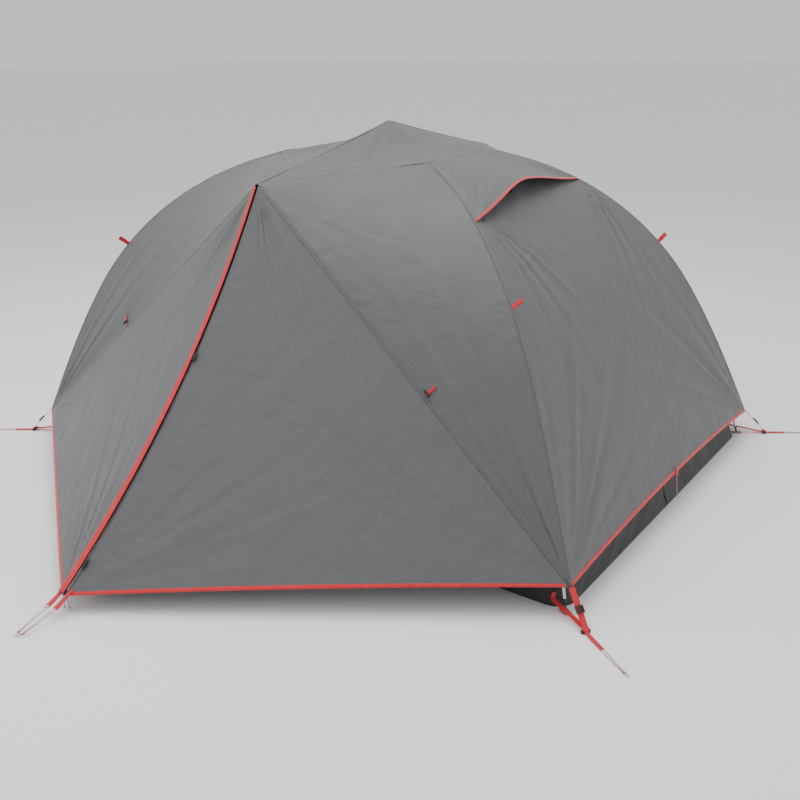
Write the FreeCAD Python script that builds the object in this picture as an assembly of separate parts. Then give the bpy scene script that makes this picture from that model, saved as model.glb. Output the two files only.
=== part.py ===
"""Two-person dome tent: pitched fly, inner tent, pole frame, zips, vents and pegging points.

Frame: +X along the sleeping length, +Y across, +Z up, origin on the ground under the crossing.
"near" is the -Y side, "right" is the +X side. The tent is the same after half a turn about Z,
so the far side and the left end are the near side and the right end turned by 180 degrees.
"""
import FreeCAD, Part
import math
import os

Vector = FreeCAD.Vector
os.makedirs("parts", exist_ok=True)

# ---- overall sizes, mm ----
FLOOR_LENGTH = 2180.0
FLOOR_WIDTH = 1450.0
CROSSING_HEIGHT = 1078.0   # centre of the upper main pole where the two poles cross
APEX_RISE = 77.0           # outside of the fly above that crossing
DOOR_TOP_OUT = 655.0       # door's top point, out from the middle
DOOR_TOP_DROP = 58.0       # door's top, below that crossing
DOOR_TOP_HEIGHT = CROSSING_HEIGHT - DOOR_TOP_DROP
PORCH_DEPTH = 755.0        # door's foot, out from the floor's edge
PORCH_FOOT_HEIGHT = 50.0
FLY_HEM_HEIGHT = 87.0      # at the four corners
TUB_HEIGHT = 150.0

# ---- poles ----
POLE_RADIUS = 4.25
POLE_WALL = 0.7
FOOT_HEIGHT = 20.0
CROWN_ANGLE = 16.0         # slope of the pole where its crown arc ends, degrees
SHOULDER_ANGLE = 58.0      # slope where its shoulder arc ends
LEG_ANGLE = 74.0           # slope at the foot
LEG_RADIUS = 2150.0
SECTIONS_PER_HALF = 3      # tube sections from the crossing to a foot
FERRULE_LENGTH = 40.0
BROW_END_IN = 26.0         # brow pole's end, in from the door's top
BROW_END_DOWN = 17.0
FERRULE_WALL = 0.8
TUBE_GAP = 0.4             # between tube ends, and between tube and ferrule
TIP_LENGTH = 34.0
CORD_RADIUS = 1.25         # shock cord
HUB_RADIUS = 15.0
HUB_HEADROOM = 13.0        # hub's top under the fly's apex
HUB_DEPTH = 8.0            # hub's foot under the lower pole
FERRULE_GAP = 0.1          # ferrule and tip plug inside a tube
TIP_PIN_RADIUS = 3.0
TIP_COLLAR = 6.0
TIP_PLUG = 9.0
BROW_CAP = 9.0
CROSSING_GAP = 1.5         # between poles where they cross

# ---- cloth ----
SHEET = 2.0                # thickness that stands for thin cloth
SEAM_GAP = 1.0             # half the gap between sewn panels
FLY_OFFSET = 14.0          # outside of the fly over a main pole's centre
RIDGE_SLACK = 4.0
ROOF_DIP = 16.0            # roof between the ridge and the cross seam
ROOF_REST_WIDTH = 70.0     # how far either side of a pole the roof is held up by it
HEM_FLARE = 32.0           # fly pulled out past the pole at the hem
INNER_OFFSET = 25.0        # inner tent's seam inside a main pole's centre
INNER_DOOR_TOP_IN = 45.0   # inner tent's brow point inside the fly's
INNER_DOOR_TOP_DOWN = 65.0
BINDING_WIDTH = 11.0
BINDING = 3.0              # thickness of bound edges
END_HEM_ARCH = 36.0
END_BOW = 14.0             # ends pulled in between the poles by the cloth's tension
DOOR_HEM_ARCH = 10.0
TRIM_GAP = 0.6             # between trim and the cloth beside it
TUB_CORNER = 60.0
TUB_GAP = 4.0              # inner wall above the tub's top edge

# ---- door zip, flap and slider ----
ZIP_SAG = 60.0             # how far the taut zip line dips below its chord
ZIP_HALF_GAP = 7.0         # from the zip line to each door half
CHAIN_HALF_WIDTH = 3.0
CHAIN_HALF_THICK = 1.0
TAPE_HALF_THICK = 0.4
RUN_GAP = 0.4              # slider's clearance on the chain
SLIDER_WALL = 1.6
SLIDER_LENGTH = 14.0
FLAP_RISE = 4.0            # underside of the storm flap above the zip line
FLAP_OVER = 5.0            # flap's free edge past the zip line
FLAP_TOP_WIDTH = 13.0
FLAP_FOOT_WIDTH = 24.0
DOOR_TIP = 34.0            # door starts this far below its top point
PULL_RADIUS = 1.0
PULL_LENGTH = 34.0

# ---- inner door ----
DOOR_RADIUS = 330.0
DOOR_HINGE_OUT = 245.0     # hinge side of the D, from the circle's centre
DOOR_GAP = 7.0             # from the D's edge to the wall around it
DOOR_RISE = 360.0          # circle's centre above the wall's foot, up the wall
INNER_CHAIN = 2.2          # half the width of the inner door's zip chain
INNER_CHAIN_THICK = 0.9    # half its thickness
INNER_SLIDER_LENGTH = 12.0
INNER_SLIDER_WALL = 1.4

# ---- vents ----
VENT_TOP = 370.0           # cross seam's distance from the middle, along the diagonal
HOOD_FOOT = 660.0          # hood's ends on the main poles, along the diagonal
PANEL_TOP = 590.0          # top of the end panel under the hood
HOOD_LIFT = 52.0
HOOD_CLEAR = 3.5           # hood's outside over the end panel's where they lie together
PROP_LENGTH = 32.0
PROP_WIDTH = 24.0
PROP_THICK = 2.0
PROP_SIDE = 95.0           # prop, off the middle of the hood
PROP_IN = 10.0             # prop's lower end behind the hood's free edge
PROP_FOOT_GAP = 4.5        # its foot above the end panel

# ---- webbing, buckles and pegging loops ----
WEBBING = 1.5
STRAP_WIDTH = 15.0
FLY_STRAP_WIDTH = 18.0
TAB_WIDTH = 20.0
ANCHOR_REACH = 100.0       # anchor bar, out from the floor's corner
ANCHOR_BAR = 8.0
ANCHOR_BAR_LENGTH = 26.0
TONGUE_LENGTH = 70.0
TONGUE_WIDTH = 12.0
PEG_CORD_RADIUS = 0.9
PEG_CORD_LENGTH = 98.0
GROMMET_RADIUS = 8.0
GROMMET_HOLE = 5.2
FOOT_STRAP_LENGTH = 36.0   # webbing at a porch's foot
FOOT_STRAP_LEAN = 23.0     # its slope below level, degrees
PEG_CORD_SPREAD = 5.0      # strands of a pegging loop, off its middle
PEG_CORD_CLOSE = 0.25      # share of that spread left at the knot
ANCHOR_SLOT = 3.2
LADDER_LOCK_LENGTH = 20.0
LADDER_LOCK_THICK = 4.5
LADDER_LOCK_PLACE = 0.42   # down the fly's corner strap
TUB_STRAP_HEIGHT = 26.0    # where the corner strap is sewn to the tub
GROMMET_THICK = 2.4
TAB_TOP = 4.0              # top of the webbing tab that carries the grommet
GUY_HEIGHT = 735.0
GUY_LENGTH = 40.0
GUY_WIDTH = 14.0
GUY_THICK = 2.4
GUY_LEAN = 0.45            # how far a tab leans sideways over its seam
HEM_TAB_LENGTH = 26.0
HEM_LOOP_DROP = 64.0
TIE_PLACE = 0.562          # tie-back, down a door's side seam
TIE_LENGTH = 34.0
TIE_WIDTH = 9.0
TOGGLE_RADIUS = 3.2
TOGGLE_LENGTH = 24.0
TOGGLE_OUT = 4.0           # toggle, along its loop
CLIP_WALL = 1.8
CLIP_WIDTH = 14.0
CLIP_TAIL = 8.0            # width of the tail that hangs the inner tent
CLIPS_PER_LEG = 5
CLEAR = 0.5                # general clearance between pieces

HALF_LENGTH = FLOOR_LENGTH / 2
HALF_WIDTH = FLOOR_WIDTH / 2
HALF_DIAGONAL = math.hypot(HALF_LENGTH, HALF_WIDTH)
FOOT_INSET = 4.0           # pole foot inside the floor's sharp corner


def save(name, *solids):
    """Write one named part; several separate solids are kept as a compound."""
    for solid in solids:
        if not solid.isValid() or solid.Volume <= 0:
            print("CHECK", name, "valid", solid.isValid(), "volume", solid.Volume)
    shape = solids[0] if len(solids) == 1 else Part.makeCompound(list(solids))
    shape.exportStep("parts/" + name + ".step")
    box = shape.optimalBoundingBox(False)
    print(f"{name:26s} {len(solids):3d} solid(s) {shape.Volume / 1000:9.1f} cm3  x {box.XMin:7.0f}"
          f"{box.XMax:7.0f}  y {box.YMin:7.0f}{box.YMax:7.0f}  z {box.ZMin:6.1f}{box.ZMax:7.1f}")


def turned(shape):
    """The same piece half a turn round the tent's middle."""
    copy = shape.copy()
    copy.rotate(Vector(0, 0, 0), Vector(0, 0, 1), 180)
    return copy


def blend(a, b, t):
    return a * (1 - t) + b * t


def steps(count):
    return [i / count for i in range(count + 1)]


# ---- main pole's line: crown, shoulder and leg are tangent arcs in the diagonal plane ----
A1, A2, A3 = (math.radians(a) for a in (CROWN_ANGLE, SHOULDER_ANGLE, LEG_ANGLE))
POLE_REACH = HALF_DIAGONAL - FOOT_INSET
_reach = POLE_REACH - LEG_RADIUS * (math.sin(A3) - math.sin(A2))
_drop = CROSSING_HEIGHT - FOOT_HEIGHT - LEG_RADIUS * (math.cos(A2) - math.cos(A3))
_det = (math.sin(A1) * (math.cos(A1) - math.cos(A2))
        - (math.sin(A2) - math.sin(A1)) * (1 - math.cos(A1)))
CROWN_RADIUS = (_reach * (math.cos(A1) - math.cos(A2)) - (math.sin(A2) - math.sin(A1)) * _drop) / _det
SHOULDER_RADIUS = (math.sin(A1) * _drop - (1 - math.cos(A1)) * _reach) / _det
ARCS = [(0.0, A1, CROWN_RADIUS), (A1, A2, SHOULDER_RADIUS), (A2, A3, LEG_RADIUS)]
POLE_HALF_LENGTH = sum(radius * (end - start) for start, end, radius in ARCS)
print("pole radii", round(CROWN_RADIUS), round(SHOULDER_RADIUS), LEG_RADIUS,
      "half length", round(POLE_HALF_LENGTH))


def pole_at(run):
    """Distance out, height and slope of the main pole after a run from the crossing."""
    out, height = 0.0, CROSSING_HEIGHT
    for start, end, radius in ARCS:
        length = radius * (end - start)
        slope = start + min(run, length) / radius
        out += radius * (math.sin(slope) - math.sin(start))
        height -= radius * (math.cos(start) - math.cos(slope))
        if run <= length:
            break
        run -= length
    return out, height, slope


def run_where(test):
    """Run along the pole at which test(out, height, slope) turns true, by halving."""
    low, high = 0.0, POLE_HALF_LENGTH
    for _ in range(50):
        middle = (low + high) / 2
        if test(*pole_at(middle)):
            high = middle
        else:
            low = middle
    return low


def diagonal(sx, sy):
    return Vector(sx * HALF_LENGTH, sy * HALF_WIDTH, 0) * (1 / HALF_DIAGONAL)


def seam(run, sx, sy, offset, flare=0.0):
    """Point of a sewn seam that follows a main pole at an offset, flared out near the hem."""
    out, height, slope = pole_at(run)
    pulled = flare * (run / HEM_RUN) ** 8 if flare else 0.0
    reach = out + offset * math.sin(slope) + pulled
    return diagonal(sx, sy) * reach + Vector(0, 0, height + offset * math.cos(slope))


def run_at_reach(reach, offset):
    return run_where(lambda out, height, slope: out + offset * math.sin(slope) > reach)


def run_at_height(level, offset):
    return run_where(lambda out, height, slope: height + offset * math.cos(slope) < level)


HEM_RUN = run_at_height(FLY_HEM_HEIGHT, FLY_OFFSET)
VENT_TOP_RUN = run_at_reach(VENT_TOP, FLY_OFFSET)
HOOD_RUN = run_at_reach(HOOD_FOOT, FLY_OFFSET)
PANEL_TOP_RUN = run_at_reach(PANEL_TOP, FLY_OFFSET)
INNER_TOP_RUN = run_at_reach(VENT_TOP, -INNER_OFFSET)
INNER_FOOT_RUN = run_at_height(TUB_HEIGHT + TUB_GAP, -INNER_OFFSET)


# ---- cloth panels ----
def spline_face(net):
    """Clamped uniform spline face whose control net is the given grid of points."""
    rows, columns = len(net), len(net[0])
    degrees = (min(3, rows - 1), min(3, columns - 1))
    settings = []
    for count, degree in zip((rows, columns), degrees):
        spans = count - degree
        settings.append([degree + 1] + [1] * (spans - 1) + [degree + 1])
        settings.append([float(i) for i in range(spans + 1)])
    surface = Part.BSplineSurface()
    surface.buildFromPolesMultsKnots(net, settings[0], settings[2], settings[1], settings[3],
                                     False, False, degrees[0], degrees[1])
    return surface.toShape()


def sheet_from(net, thickness, core=Vector(0, 0, 250), sink=0.0):
    """Closed solid of a cloth panel: the grid is its outside, and its inside is sewn to it."""
    rows, columns = len(net), len(net[0])
    outer, inner = [], []
    for i in range(rows):
        outer.append([])
        inner.append([])
        for j in range(columns):
            along = net[min(i + 1, rows - 1)][j] - net[max(i - 1, 0)][j]
            across = net[i][min(j + 1, columns - 1)] - net[i][max(j - 1, 0)]
            normal = along.cross(across)
            normal.normalize()
            if normal.dot(net[i][j] - core) < 0:
                normal = normal * -1
            outer[i].append(net[i][j] - normal * sink)
            inner[i].append(net[i][j] - normal * (sink + thickness))
    faces = [spline_face(outer), spline_face(inner)]
    rims = [(outer[0], inner[0]), (outer[-1], inner[-1]),
            ([row[0] for row in outer], [row[0] for row in inner]),
            ([row[-1] for row in outer], [row[-1] for row in inner])]
    faces += [spline_face([list(a), list(b)]) for a, b in rims]
    shell = Part.makeCompound(faces)
    shell.sewShape()
    solid = Part.Solid(shell.Shells[0])
    if solid.Volume < 0:
        solid.reverse()
    return solid


def panel(surface, along, across, thickness=SHEET, rows=12, columns=8, sink=0.0):
    """Cloth over surface(u, v) for u and v in the given ranges."""
    net = [[surface(along[0] + (along[1] - along[0]) * i, across[0] + (across[1] - across[0]) * j)
            for j in steps(columns)] for i in steps(rows)]
    return sheet_from(net, thickness, sink=sink)


def trimmed(a, b, first=SEAM_GAP, last=SEAM_GAP):
    """Range across a strip from a to b, less a gap at each side."""
    width = (b - a).Length
    return (first / width, 1 - last / width)


DOOR_TOP = Vector(0, -DOOR_TOP_OUT, DOOR_TOP_HEIGHT)
PORCH_FOOT = Vector(0, -HALF_WIDTH - PORCH_DEPTH, PORCH_FOOT_HEIGHT)


def hem_corner(sx, sy=-1):
    return seam(HEM_RUN, sx, sy, FLY_OFFSET, HEM_FLARE)


def fly_pole_seam(u, sx, sy=-1):
    """Fly's seam over a main pole, from the cross seam (0) to the hem (1)."""
    return seam(VENT_TOP_RUN + (HEM_RUN - VENT_TOP_RUN) * u, sx, sy, FLY_OFFSET, HEM_FLARE)


def end_surface(u, v):
    """Right end of the fly: straight across from pole to pole, with an arched hem."""
    point = blend(fly_pole_seam(u, 1, -1), fly_pole_seam(u, 1, 1), v)
    bow = 4 * v * (1 - v)
    return point + Vector(-END_BOW * bow * math.sin(math.pi * u), 0, END_HEM_ARCH * bow * u ** 6)


def side_surface(sx):
    """Fly between a door's side seam (v=0) and a main pole (v=1)."""
    def surface(u, v):
        door_side = blend(DOOR_TOP, hem_corner(sx), u)
        return blend(door_side, fly_pole_seam(u, sx), v)
    return surface


# The zip lies on an arc in the plane x = 0 that dips inwards; its centre is out past the porch.
ZIP_CHORD = (PORCH_FOOT - DOOR_TOP).Length
ZIP_RADIUS = (ZIP_CHORD ** 2 / 4 + ZIP_SAG ** 2) / (2 * ZIP_SAG)
_down = (PORCH_FOOT - DOOR_TOP) * (1 / ZIP_CHORD)
_outward = Vector(0, _down.z, -_down.y)
ZIP_CENTRE = blend(DOOR_TOP, PORCH_FOOT, 0.5) + _outward * (ZIP_RADIUS - ZIP_SAG)
ZIP_SPAN = 2 * math.asin(ZIP_CHORD / 2 / ZIP_RADIUS)
ZIP_LENGTH = ZIP_RADIUS * ZIP_SPAN
print("zip radius", round(ZIP_RADIUS), "centre", ZIP_CENTRE, "span deg", math.degrees(ZIP_SPAN))


def on_zip(u, aside=0.0, above=0.0):
    """Point on the zip line: u runs from the door's top (0) to its foot (1)."""
    angle = ZIP_SPAN * (u - 0.5)
    toward = _outward * -math.cos(angle) + _down * math.sin(angle)
    return ZIP_CENTRE + toward * (ZIP_RADIUS - above) + Vector(aside, 0, 0)


def door_surface(sx):
    """Door half from the zip (v=0) to its side seam (v=1)."""
    def surface(u, v):
        point = blend(on_zip(u, sx * ZIP_HALF_GAP), blend(DOOR_TOP, hem_corner(sx), u), v)
        return point + Vector(0, 0, DOOR_HEM_ARCH * 4 * v * (1 - v) * u ** 6)
    return surface


ROOF_APEX = Vector(0, 0, CROSSING_HEIGHT + APEX_RISE)


def ridge_point(u, apex, end):
    """Taut ridge from the apex (0) to a door's top (1), a little slack between them."""
    return blend(apex, end, u) - Vector(0, 0, RIDGE_SLACK * 4 * u * (1 - u))


def roof_surface(sx):
    """Quarter of the fly's roof, from the ridge (v=0) to the cross seam (v=1).

    Where the cloth would sag below the main pole it is held up by it, and the rise fades
    away to each side.
    """
    corner = fly_pole_seam(0, sx)
    middle = Vector(corner.x, 0, corner.z)
    pole_side = diagonal(sx, -1)
    def surface(u, v):
        ridge = ridge_point(u, ROOF_APEX, DOOR_TOP)
        point = blend(ridge, blend(middle, corner, u), v)
        point.z -= ROOF_DIP * math.sin(math.pi * v) * (1 - u)
        aside = point.cross(pole_side).z
        height = pole_at(run_at_reach(point.dot(pole_side), 0))[1]
        held = max(0, height + FLY_OFFSET - point.z)
        return point + Vector(0, 0, held * math.exp(-(aside / ROOF_REST_WIDTH) ** 2))
    return surface


# ---- fly ----
def u_at_run(run):
    return (run - VENT_TOP_RUN) / (HEM_RUN - VENT_TOP_RUN)


HEM_U = 1 - (BINDING_WIDTH + TRIM_GAP) / (HEM_RUN - VENT_TOP_RUN)
ACROSS_END = trimmed(fly_pole_seam(0, 1, -1), fly_pole_seam(0, 1, 1))
SIDE_FOOT_U = 0.965        # side panels stop where they are a few fingers wide

near_roof = [panel(roof_surface(sx), (SEAM_GAP / DOOR_TOP_OUT, 1 - 12 / DOOR_TOP_OUT),
                   (SEAM_GAP / VENT_TOP, 1 - 2 * SEAM_GAP / VENT_TOP)) for sx in (-1, 1)]
save("fly_roof", *near_roof, *[turned(p) for p in near_roof])

end_panel = panel(end_surface, (u_at_run(PANEL_TOP_RUN), HEM_U), ACROSS_END, rows=16, columns=10)
save("fly_end_right", end_panel)
save("fly_end_left", turned(end_panel))

ACROSS_SIDE = (0.006, 0.994)
near_sides = [panel(side_surface(sx), (0.004, SIDE_FOOT_U), ACROSS_SIDE) for sx in (-1, 1)]
save("fly_side_panels", *near_sides, *[turned(p) for p in near_sides])

DOOR_START_U = DOOR_TIP / ZIP_LENGTH
DOOR_HEM_U = 1 - (BINDING_WIDTH + TRIM_GAP) / ZIP_LENGTH
ACROSS_DOOR = (0.0, 0.997)
for sx, name, other in ((-1, "near_left", "far_right"), (1, "near_right", "far_left")):
    half = panel(door_surface(sx), (DOOR_START_U, DOOR_HEM_U), ACROSS_DOOR, rows=14, columns=10)
    save("fly_door_" + name, half)
    save("fly_door_" + other, turned(half))

end_binding = panel(end_surface, (1 - BINDING_WIDTH / (HEM_RUN - VENT_TOP_RUN), 1), ACROSS_END,
                    thickness=BINDING, rows=2, columns=10)
save("fly_hem_binding", end_binding, turned(end_binding))

# ---- vent hood, mesh and prop at the right end ----
HOOD_U = u_at_run(HOOD_RUN)
PANEL_TOP_U = u_at_run(PANEL_TOP_RUN)


def hood_surface(u, v):
    """Hood: lies on the end at the cross seam (u=0) and stands up along its free edge (u=1)."""
    low = end_surface(HOOD_U * u, v)
    slope = pole_at(VENT_TOP_RUN + (HOOD_RUN - VENT_TOP_RUN) * u)[2]
    lift = HOOD_CLEAR + HOOD_LIFT * math.sin(math.pi * v) ** 1.3 * u ** 1.6
    return low + Vector(math.sin(slope), 0, math.cos(slope)) * lift


hood = panel(hood_surface, (0.006, 1), (0.006, 0.994), rows=8, columns=14)
save("vent_hoods", hood, turned(hood))
mesh = panel(end_surface, (0.004, PANEL_TOP_U - 0.004), (0.012, 0.988), sink=CLEAR)
save("vent_mesh", mesh, turned(mesh))

prop_v = 0.5 - PROP_SIDE / (2 * fly_pole_seam(HOOD_U, 1, 1).y)
prop_foot = end_surface(HOOD_U, prop_v)
prop_slope = pole_at(HOOD_RUN)[2]
prop_up = Vector(math.sin(prop_slope), 0, math.cos(prop_slope))
prop_down = Vector(math.cos(prop_slope), 0, -math.sin(prop_slope))
prop_foot = prop_foot - prop_down * (PROP_WIDTH / 2 + PROP_IN)


def plank(origin, along, across, normal, length, width, thick):
    """Flat strip from origin, centred across, standing on its lower face along normal."""
    along, across, normal = (Vector(v).normalize() for v in (along, across, normal))
    start = origin - across * (width / 2)
    points = [start, start + across * width, start + across * width + along * length,
              start + along * length]
    face = Part.Face(Part.makePolygon(points + [points[0]]))
    solid = face.extrude(normal * thick)
    return solid


prop = plank(prop_foot + prop_up * PROP_FOOT_GAP, prop_up, prop_down, Vector(0, 1, 0),
             PROP_LENGTH, PROP_WIDTH, PROP_THICK)
save("vent_prop_right", prop)
save("vent_prop_left", turned(prop))
print("prop hinge", prop_foot, "axis", prop_down)

# ---- door zip: chain, storm flap, slider and pulls, all on arcs about the zip's centre ----
def along_zip(section, start_u, end_u):
    """Turn a section (aside, above) about the zip's centre from start_u to end_u."""
    points = [on_zip(start_u, aside, above) for aside, above in section]
    face = Part.Face(Part.makePolygon(points + [points[0]]))
    return face.revolve(ZIP_CENTRE, Vector(-1, 0, 0), math.degrees(ZIP_SPAN * (end_u - start_u)))


w = CHAIN_HALF_WIDTH
t = CHAIN_HALF_THICK
k = TAPE_HALF_THICK
tape_edge = -ZIP_HALF_GAP + CLEAR
chain_section = [(-w, t), (w, t), (w, -t), (-w, -t), (-w, -k), (tape_edge, -k), (tape_edge, k), (-w, k)]
SLIDER_U = SLIDER_LENGTH / ZIP_LENGTH
chain = along_zip(chain_section, DOOR_START_U, 1 - 1 / ZIP_LENGTH)
save("fly_zip_near", chain)
save("fly_zip_far", turned(chain))

gw = w + RUN_GAP
gt = t + RUN_GAP
gk = k + RUN_GAP
sw = gw + SLIDER_WALL
st = gt + SLIDER_WALL
slider_section = [(-sw, gk), (-sw, st), (sw, st), (sw, -st), (-sw, -st), (-sw, -gk),
                  (-gw, -gk), (-gw, -gt), (gw, -gt), (gw, gt), (-gw, gt), (-gw, gk)]
slider = along_zip(slider_section, 1 - SLIDER_U - 2 / ZIP_LENGTH, 1 - 2 / ZIP_LENGTH)
save("fly_slider_near", slider)
save("fly_slider_far", turned(slider))


def flap_surface(u, v):
    """Storm flap over the zip, wider towards its foot, sewn to the left half."""
    width = FLAP_TOP_WIDTH + (FLAP_FOOT_WIDTH - FLAP_TOP_WIDTH) * u
    return on_zip(u, FLAP_OVER - width * (1 - v), FLAP_RISE + SHEET)


flap = panel(flap_surface, (10 / ZIP_LENGTH, 1 - 6 / ZIP_LENGTH), (0, 1), rows=14, columns=3)
save("storm_flap_near", flap)
save("storm_flap_far", turned(flap))


def rod(start, end, radius):
    return Part.makeCylinder(radius, (end - start).Length, start, end - start)


pull_top = on_zip(1 - 0.5 * SLIDER_U, 0, -st) + Vector(0, 0, -PULL_RADIUS - 4)
pulls = [rod(pull_top + Vector(dx, dy, -1), pull_top + Vector(dx * 1.6, dy, -PULL_LENGTH), PULL_RADIUS)
         for dx, dy in ((-4.0, -3.0), (4.0, 3.0))]
save("zip_pulls_near", *pulls)
save("zip_pulls_far", *[turned(p) for p in pulls])
print("pull top", pull_top)

# ---- door trim: hem binding, and the webbing that pegs the foot ----
strap_slope = math.radians(FOOT_STRAP_LEAN)
lean = Vector(0, -math.cos(strap_slope), -math.sin(strap_slope))
strap_face = Vector(0, -math.sin(strap_slope), math.cos(strap_slope))
for sx, name, other in ((-1, "near_left", "far_right"), (1, "near_right", "far_left")):
    binding = panel(door_surface(sx), (1 - BINDING_WIDTH / ZIP_LENGTH, 1), (0.004, 0.99),
                    thickness=BINDING, rows=2, columns=12)
    start = on_zip(1, sx * (ZIP_HALF_GAP + STRAP_WIDTH / 2), 0) + Vector(0, -1.5, -4)
    strap = plank(start, lean, Vector(1, 0, 0), strap_face, FOOT_STRAP_LENGTH, STRAP_WIDTH, WEBBING)
    save("door_trim_" + name, binding, strap)
    save("door_trim_" + other, turned(binding), turned(strap))
    tip = start + lean * (FOOT_STRAP_LENGTH + CLEAR) + Vector(0, 0, 0.5)
    reach = Vector(sx * -6, -PEG_CORD_LENGTH * 0.95, -tip.z + 8)
    cords = [rod(tip + Vector(dx, 0, 0), tip + Vector(dx * PEG_CORD_CLOSE, 0, 0) + reach,
                 PEG_CORD_RADIUS) for dx in (-PEG_CORD_SPREAD, PEG_CORD_SPREAD)]
    save("peg_cords_" + name, *cords)
    save("peg_cords_" + other, *[turned(c) for c in cords])
    print("door cord", name, tip, reach)

# ---- inner tent ----
INNER_TOP = Vector(0, -DOOR_TOP_OUT + INNER_DOOR_TOP_IN, DOOR_TOP_HEIGHT - INNER_DOOR_TOP_DOWN)


def inner_seam(u, sx, sy=-1):
    """Inner tent's seam under a main pole, from the roof (0) to the tub (1)."""
    return seam(INNER_TOP_RUN + (INNER_FOOT_RUN - INNER_TOP_RUN) * u, sx, sy, -INNER_OFFSET)


def inner_end_surface(u, v):
    return blend(inner_seam(u, 1, -1), inner_seam(u, 1, 1), v)


def shoulder_surface(sx):
    def surface(u, v):
        return blend(blend(INNER_TOP, inner_seam(1, sx), u), inner_seam(u, sx), v)
    return surface


INNER_APEX = Vector(0, 0, CROSSING_HEIGHT - 2 * INNER_OFFSET)


def inner_roof_surface(sx):
    corner = inner_seam(0, sx)
    middle = Vector(corner.x, 0, corner.z)
    def surface(u, v):
        ridge = ridge_point(u, INNER_APEX, INNER_TOP)
        return blend(ridge, blend(middle, corner, u), v)
    return surface


wall = panel(inner_end_surface, (0.004, 1), (0.003, 0.997))
save("inner_end_walls", wall, turned(wall))
shoulders = [panel(shoulder_surface(sx), (0.004, 0.96), (0.008, 0.992)) for sx in (-1, 1)]
save("inner_shoulders", *shoulders, *[turned(p) for p in shoulders])
near_inner_roof = [panel(inner_roof_surface(sx), (0.002, 0.985), (0.004, 0.994)) for sx in (-1, 1)]
save("inner_roof", *near_inner_roof, *[turned(p) for p in near_inner_roof])

# The near side wall is flat, so that its D-shaped door closes on a round zip.
wall_foot = inner_seam(1, 1)
wall_up = Vector(0, INNER_TOP.y - wall_foot.y, INNER_TOP.z - wall_foot.z)
wall_height = wall_up.Length
wall_up.normalize()
wall_out = Vector(0, -wall_up.z, wall_up.y)
WALL_ORIGIN = Vector(0, wall_foot.y, wall_foot.z)


def on_wall(x, up, out=0.0):
    return WALL_ORIGIN + Vector(x, 0, 0) + wall_up * up + wall_out * out


half_foot = wall_foot.x - 6
half_top = 14.0
outline = [on_wall(-half_foot, 0), on_wall(half_foot, 0), on_wall(half_top, wall_height - 16),
           on_wall(-half_top, wall_height - 16)]
wall_solid = Part.Face(Part.makePolygon(outline + [outline[0]])).extrude(wall_out * SHEET)


def door_shape(radius, hinge_out, low, thick):
    """D-shaped slab: a disc cut off along its hinge side."""
    disc = Part.makeCylinder(radius, thick, on_wall(0, DOOR_RISE, low), wall_out)
    side = 2.2 * radius
    corner = on_wall(-hinge_out, DOOR_RISE, low - 1) - wall_up * radius * 1.1
    box_points = [corner, corner + Vector(side, 0, 0), corner + Vector(side, 0, 0) + wall_up * side,
                  corner + wall_up * side]
    box = Part.Face(Part.makePolygon(box_points + [box_points[0]])).extrude(wall_out * (thick + 2))
    return disc.common(box)


opening = door_shape(DOOR_RADIUS + DOOR_GAP, DOOR_HINGE_OUT + SEAM_GAP, -1, SHEET + 2)
side_wall = wall_solid.cut(opening)
save("inner_side_wall_near", side_wall.Solids[0])
save("inner_side_wall_far", turned(side_wall.Solids[0]))
inner_door = door_shape(DOOR_RADIUS - DOOR_GAP, DOOR_HINGE_OUT - SEAM_GAP, 0, SHEET)
save("inner_door_near", inner_door.Solids[0])
save("inner_door_far", turned(inner_door.Solids[0]))

# Inner zip: chain round the D from one end of the hinge side to the other.
hinge_angle = math.acos(DOOR_HINGE_OUT / DOOR_RADIUS)
CHAIN_START = math.pi + hinge_angle + 0.03
CHAIN_SWEEP = 2 * math.pi - 2 * hinge_angle - 0.06


def round_door(section, start, sweep):
    """Turn a section (out of the circle, off the wall) about the door's centre."""
    centre = on_wall(0, DOOR_RISE)
    ray = Vector(1, 0, 0) * math.cos(start) + wall_up * math.sin(start)
    points = [centre + ray * (DOOR_RADIUS + out) + wall_out * off for out, off in section]
    face = Part.Face(Part.makePolygon(points + [points[0]]))
    return face.revolve(centre, wall_out, -math.degrees(sweep))


c = SHEET / 2
low_face = c - INNER_CHAIN_THICK
high_face = c + INNER_CHAIN_THICK
inner_chain_section = [(-INNER_CHAIN, low_face), (INNER_CHAIN, low_face), (INNER_CHAIN, c - k),
                       (DOOR_GAP - CLEAR, c - k), (DOOR_GAP - CLEAR, c + k), (INNER_CHAIN, c + k),
                       (INNER_CHAIN, high_face), (-INNER_CHAIN, high_face)]
inner_chain = round_door(inner_chain_section, CHAIN_START, -CHAIN_SWEEP)
save("inner_zips", inner_chain, turned(inner_chain))
g = INNER_CHAIN + RUN_GAP
o = g + INNER_SLIDER_WALL
h = INNER_CHAIN_THICK + RUN_GAP
e = h + INNER_SLIDER_WALL
inner_slider_section = [(o, c - gk), (g, c - gk), (g, c - h), (-g, c - h), (-g, c + h), (g, c + h),
                        (g, c + gk), (o, c + gk), (o, c + e), (-o, c + e), (-o, c - e), (o, c - e)]
INNER_SLIDER_SWEEP = INNER_SLIDER_LENGTH / DOOR_RADIUS
inner_slider = round_door(inner_slider_section, CHAIN_START + 0.01, -INNER_SLIDER_SWEEP)
save("inner_slider_near", inner_slider)
save("inner_slider_far", turned(inner_slider))

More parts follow.
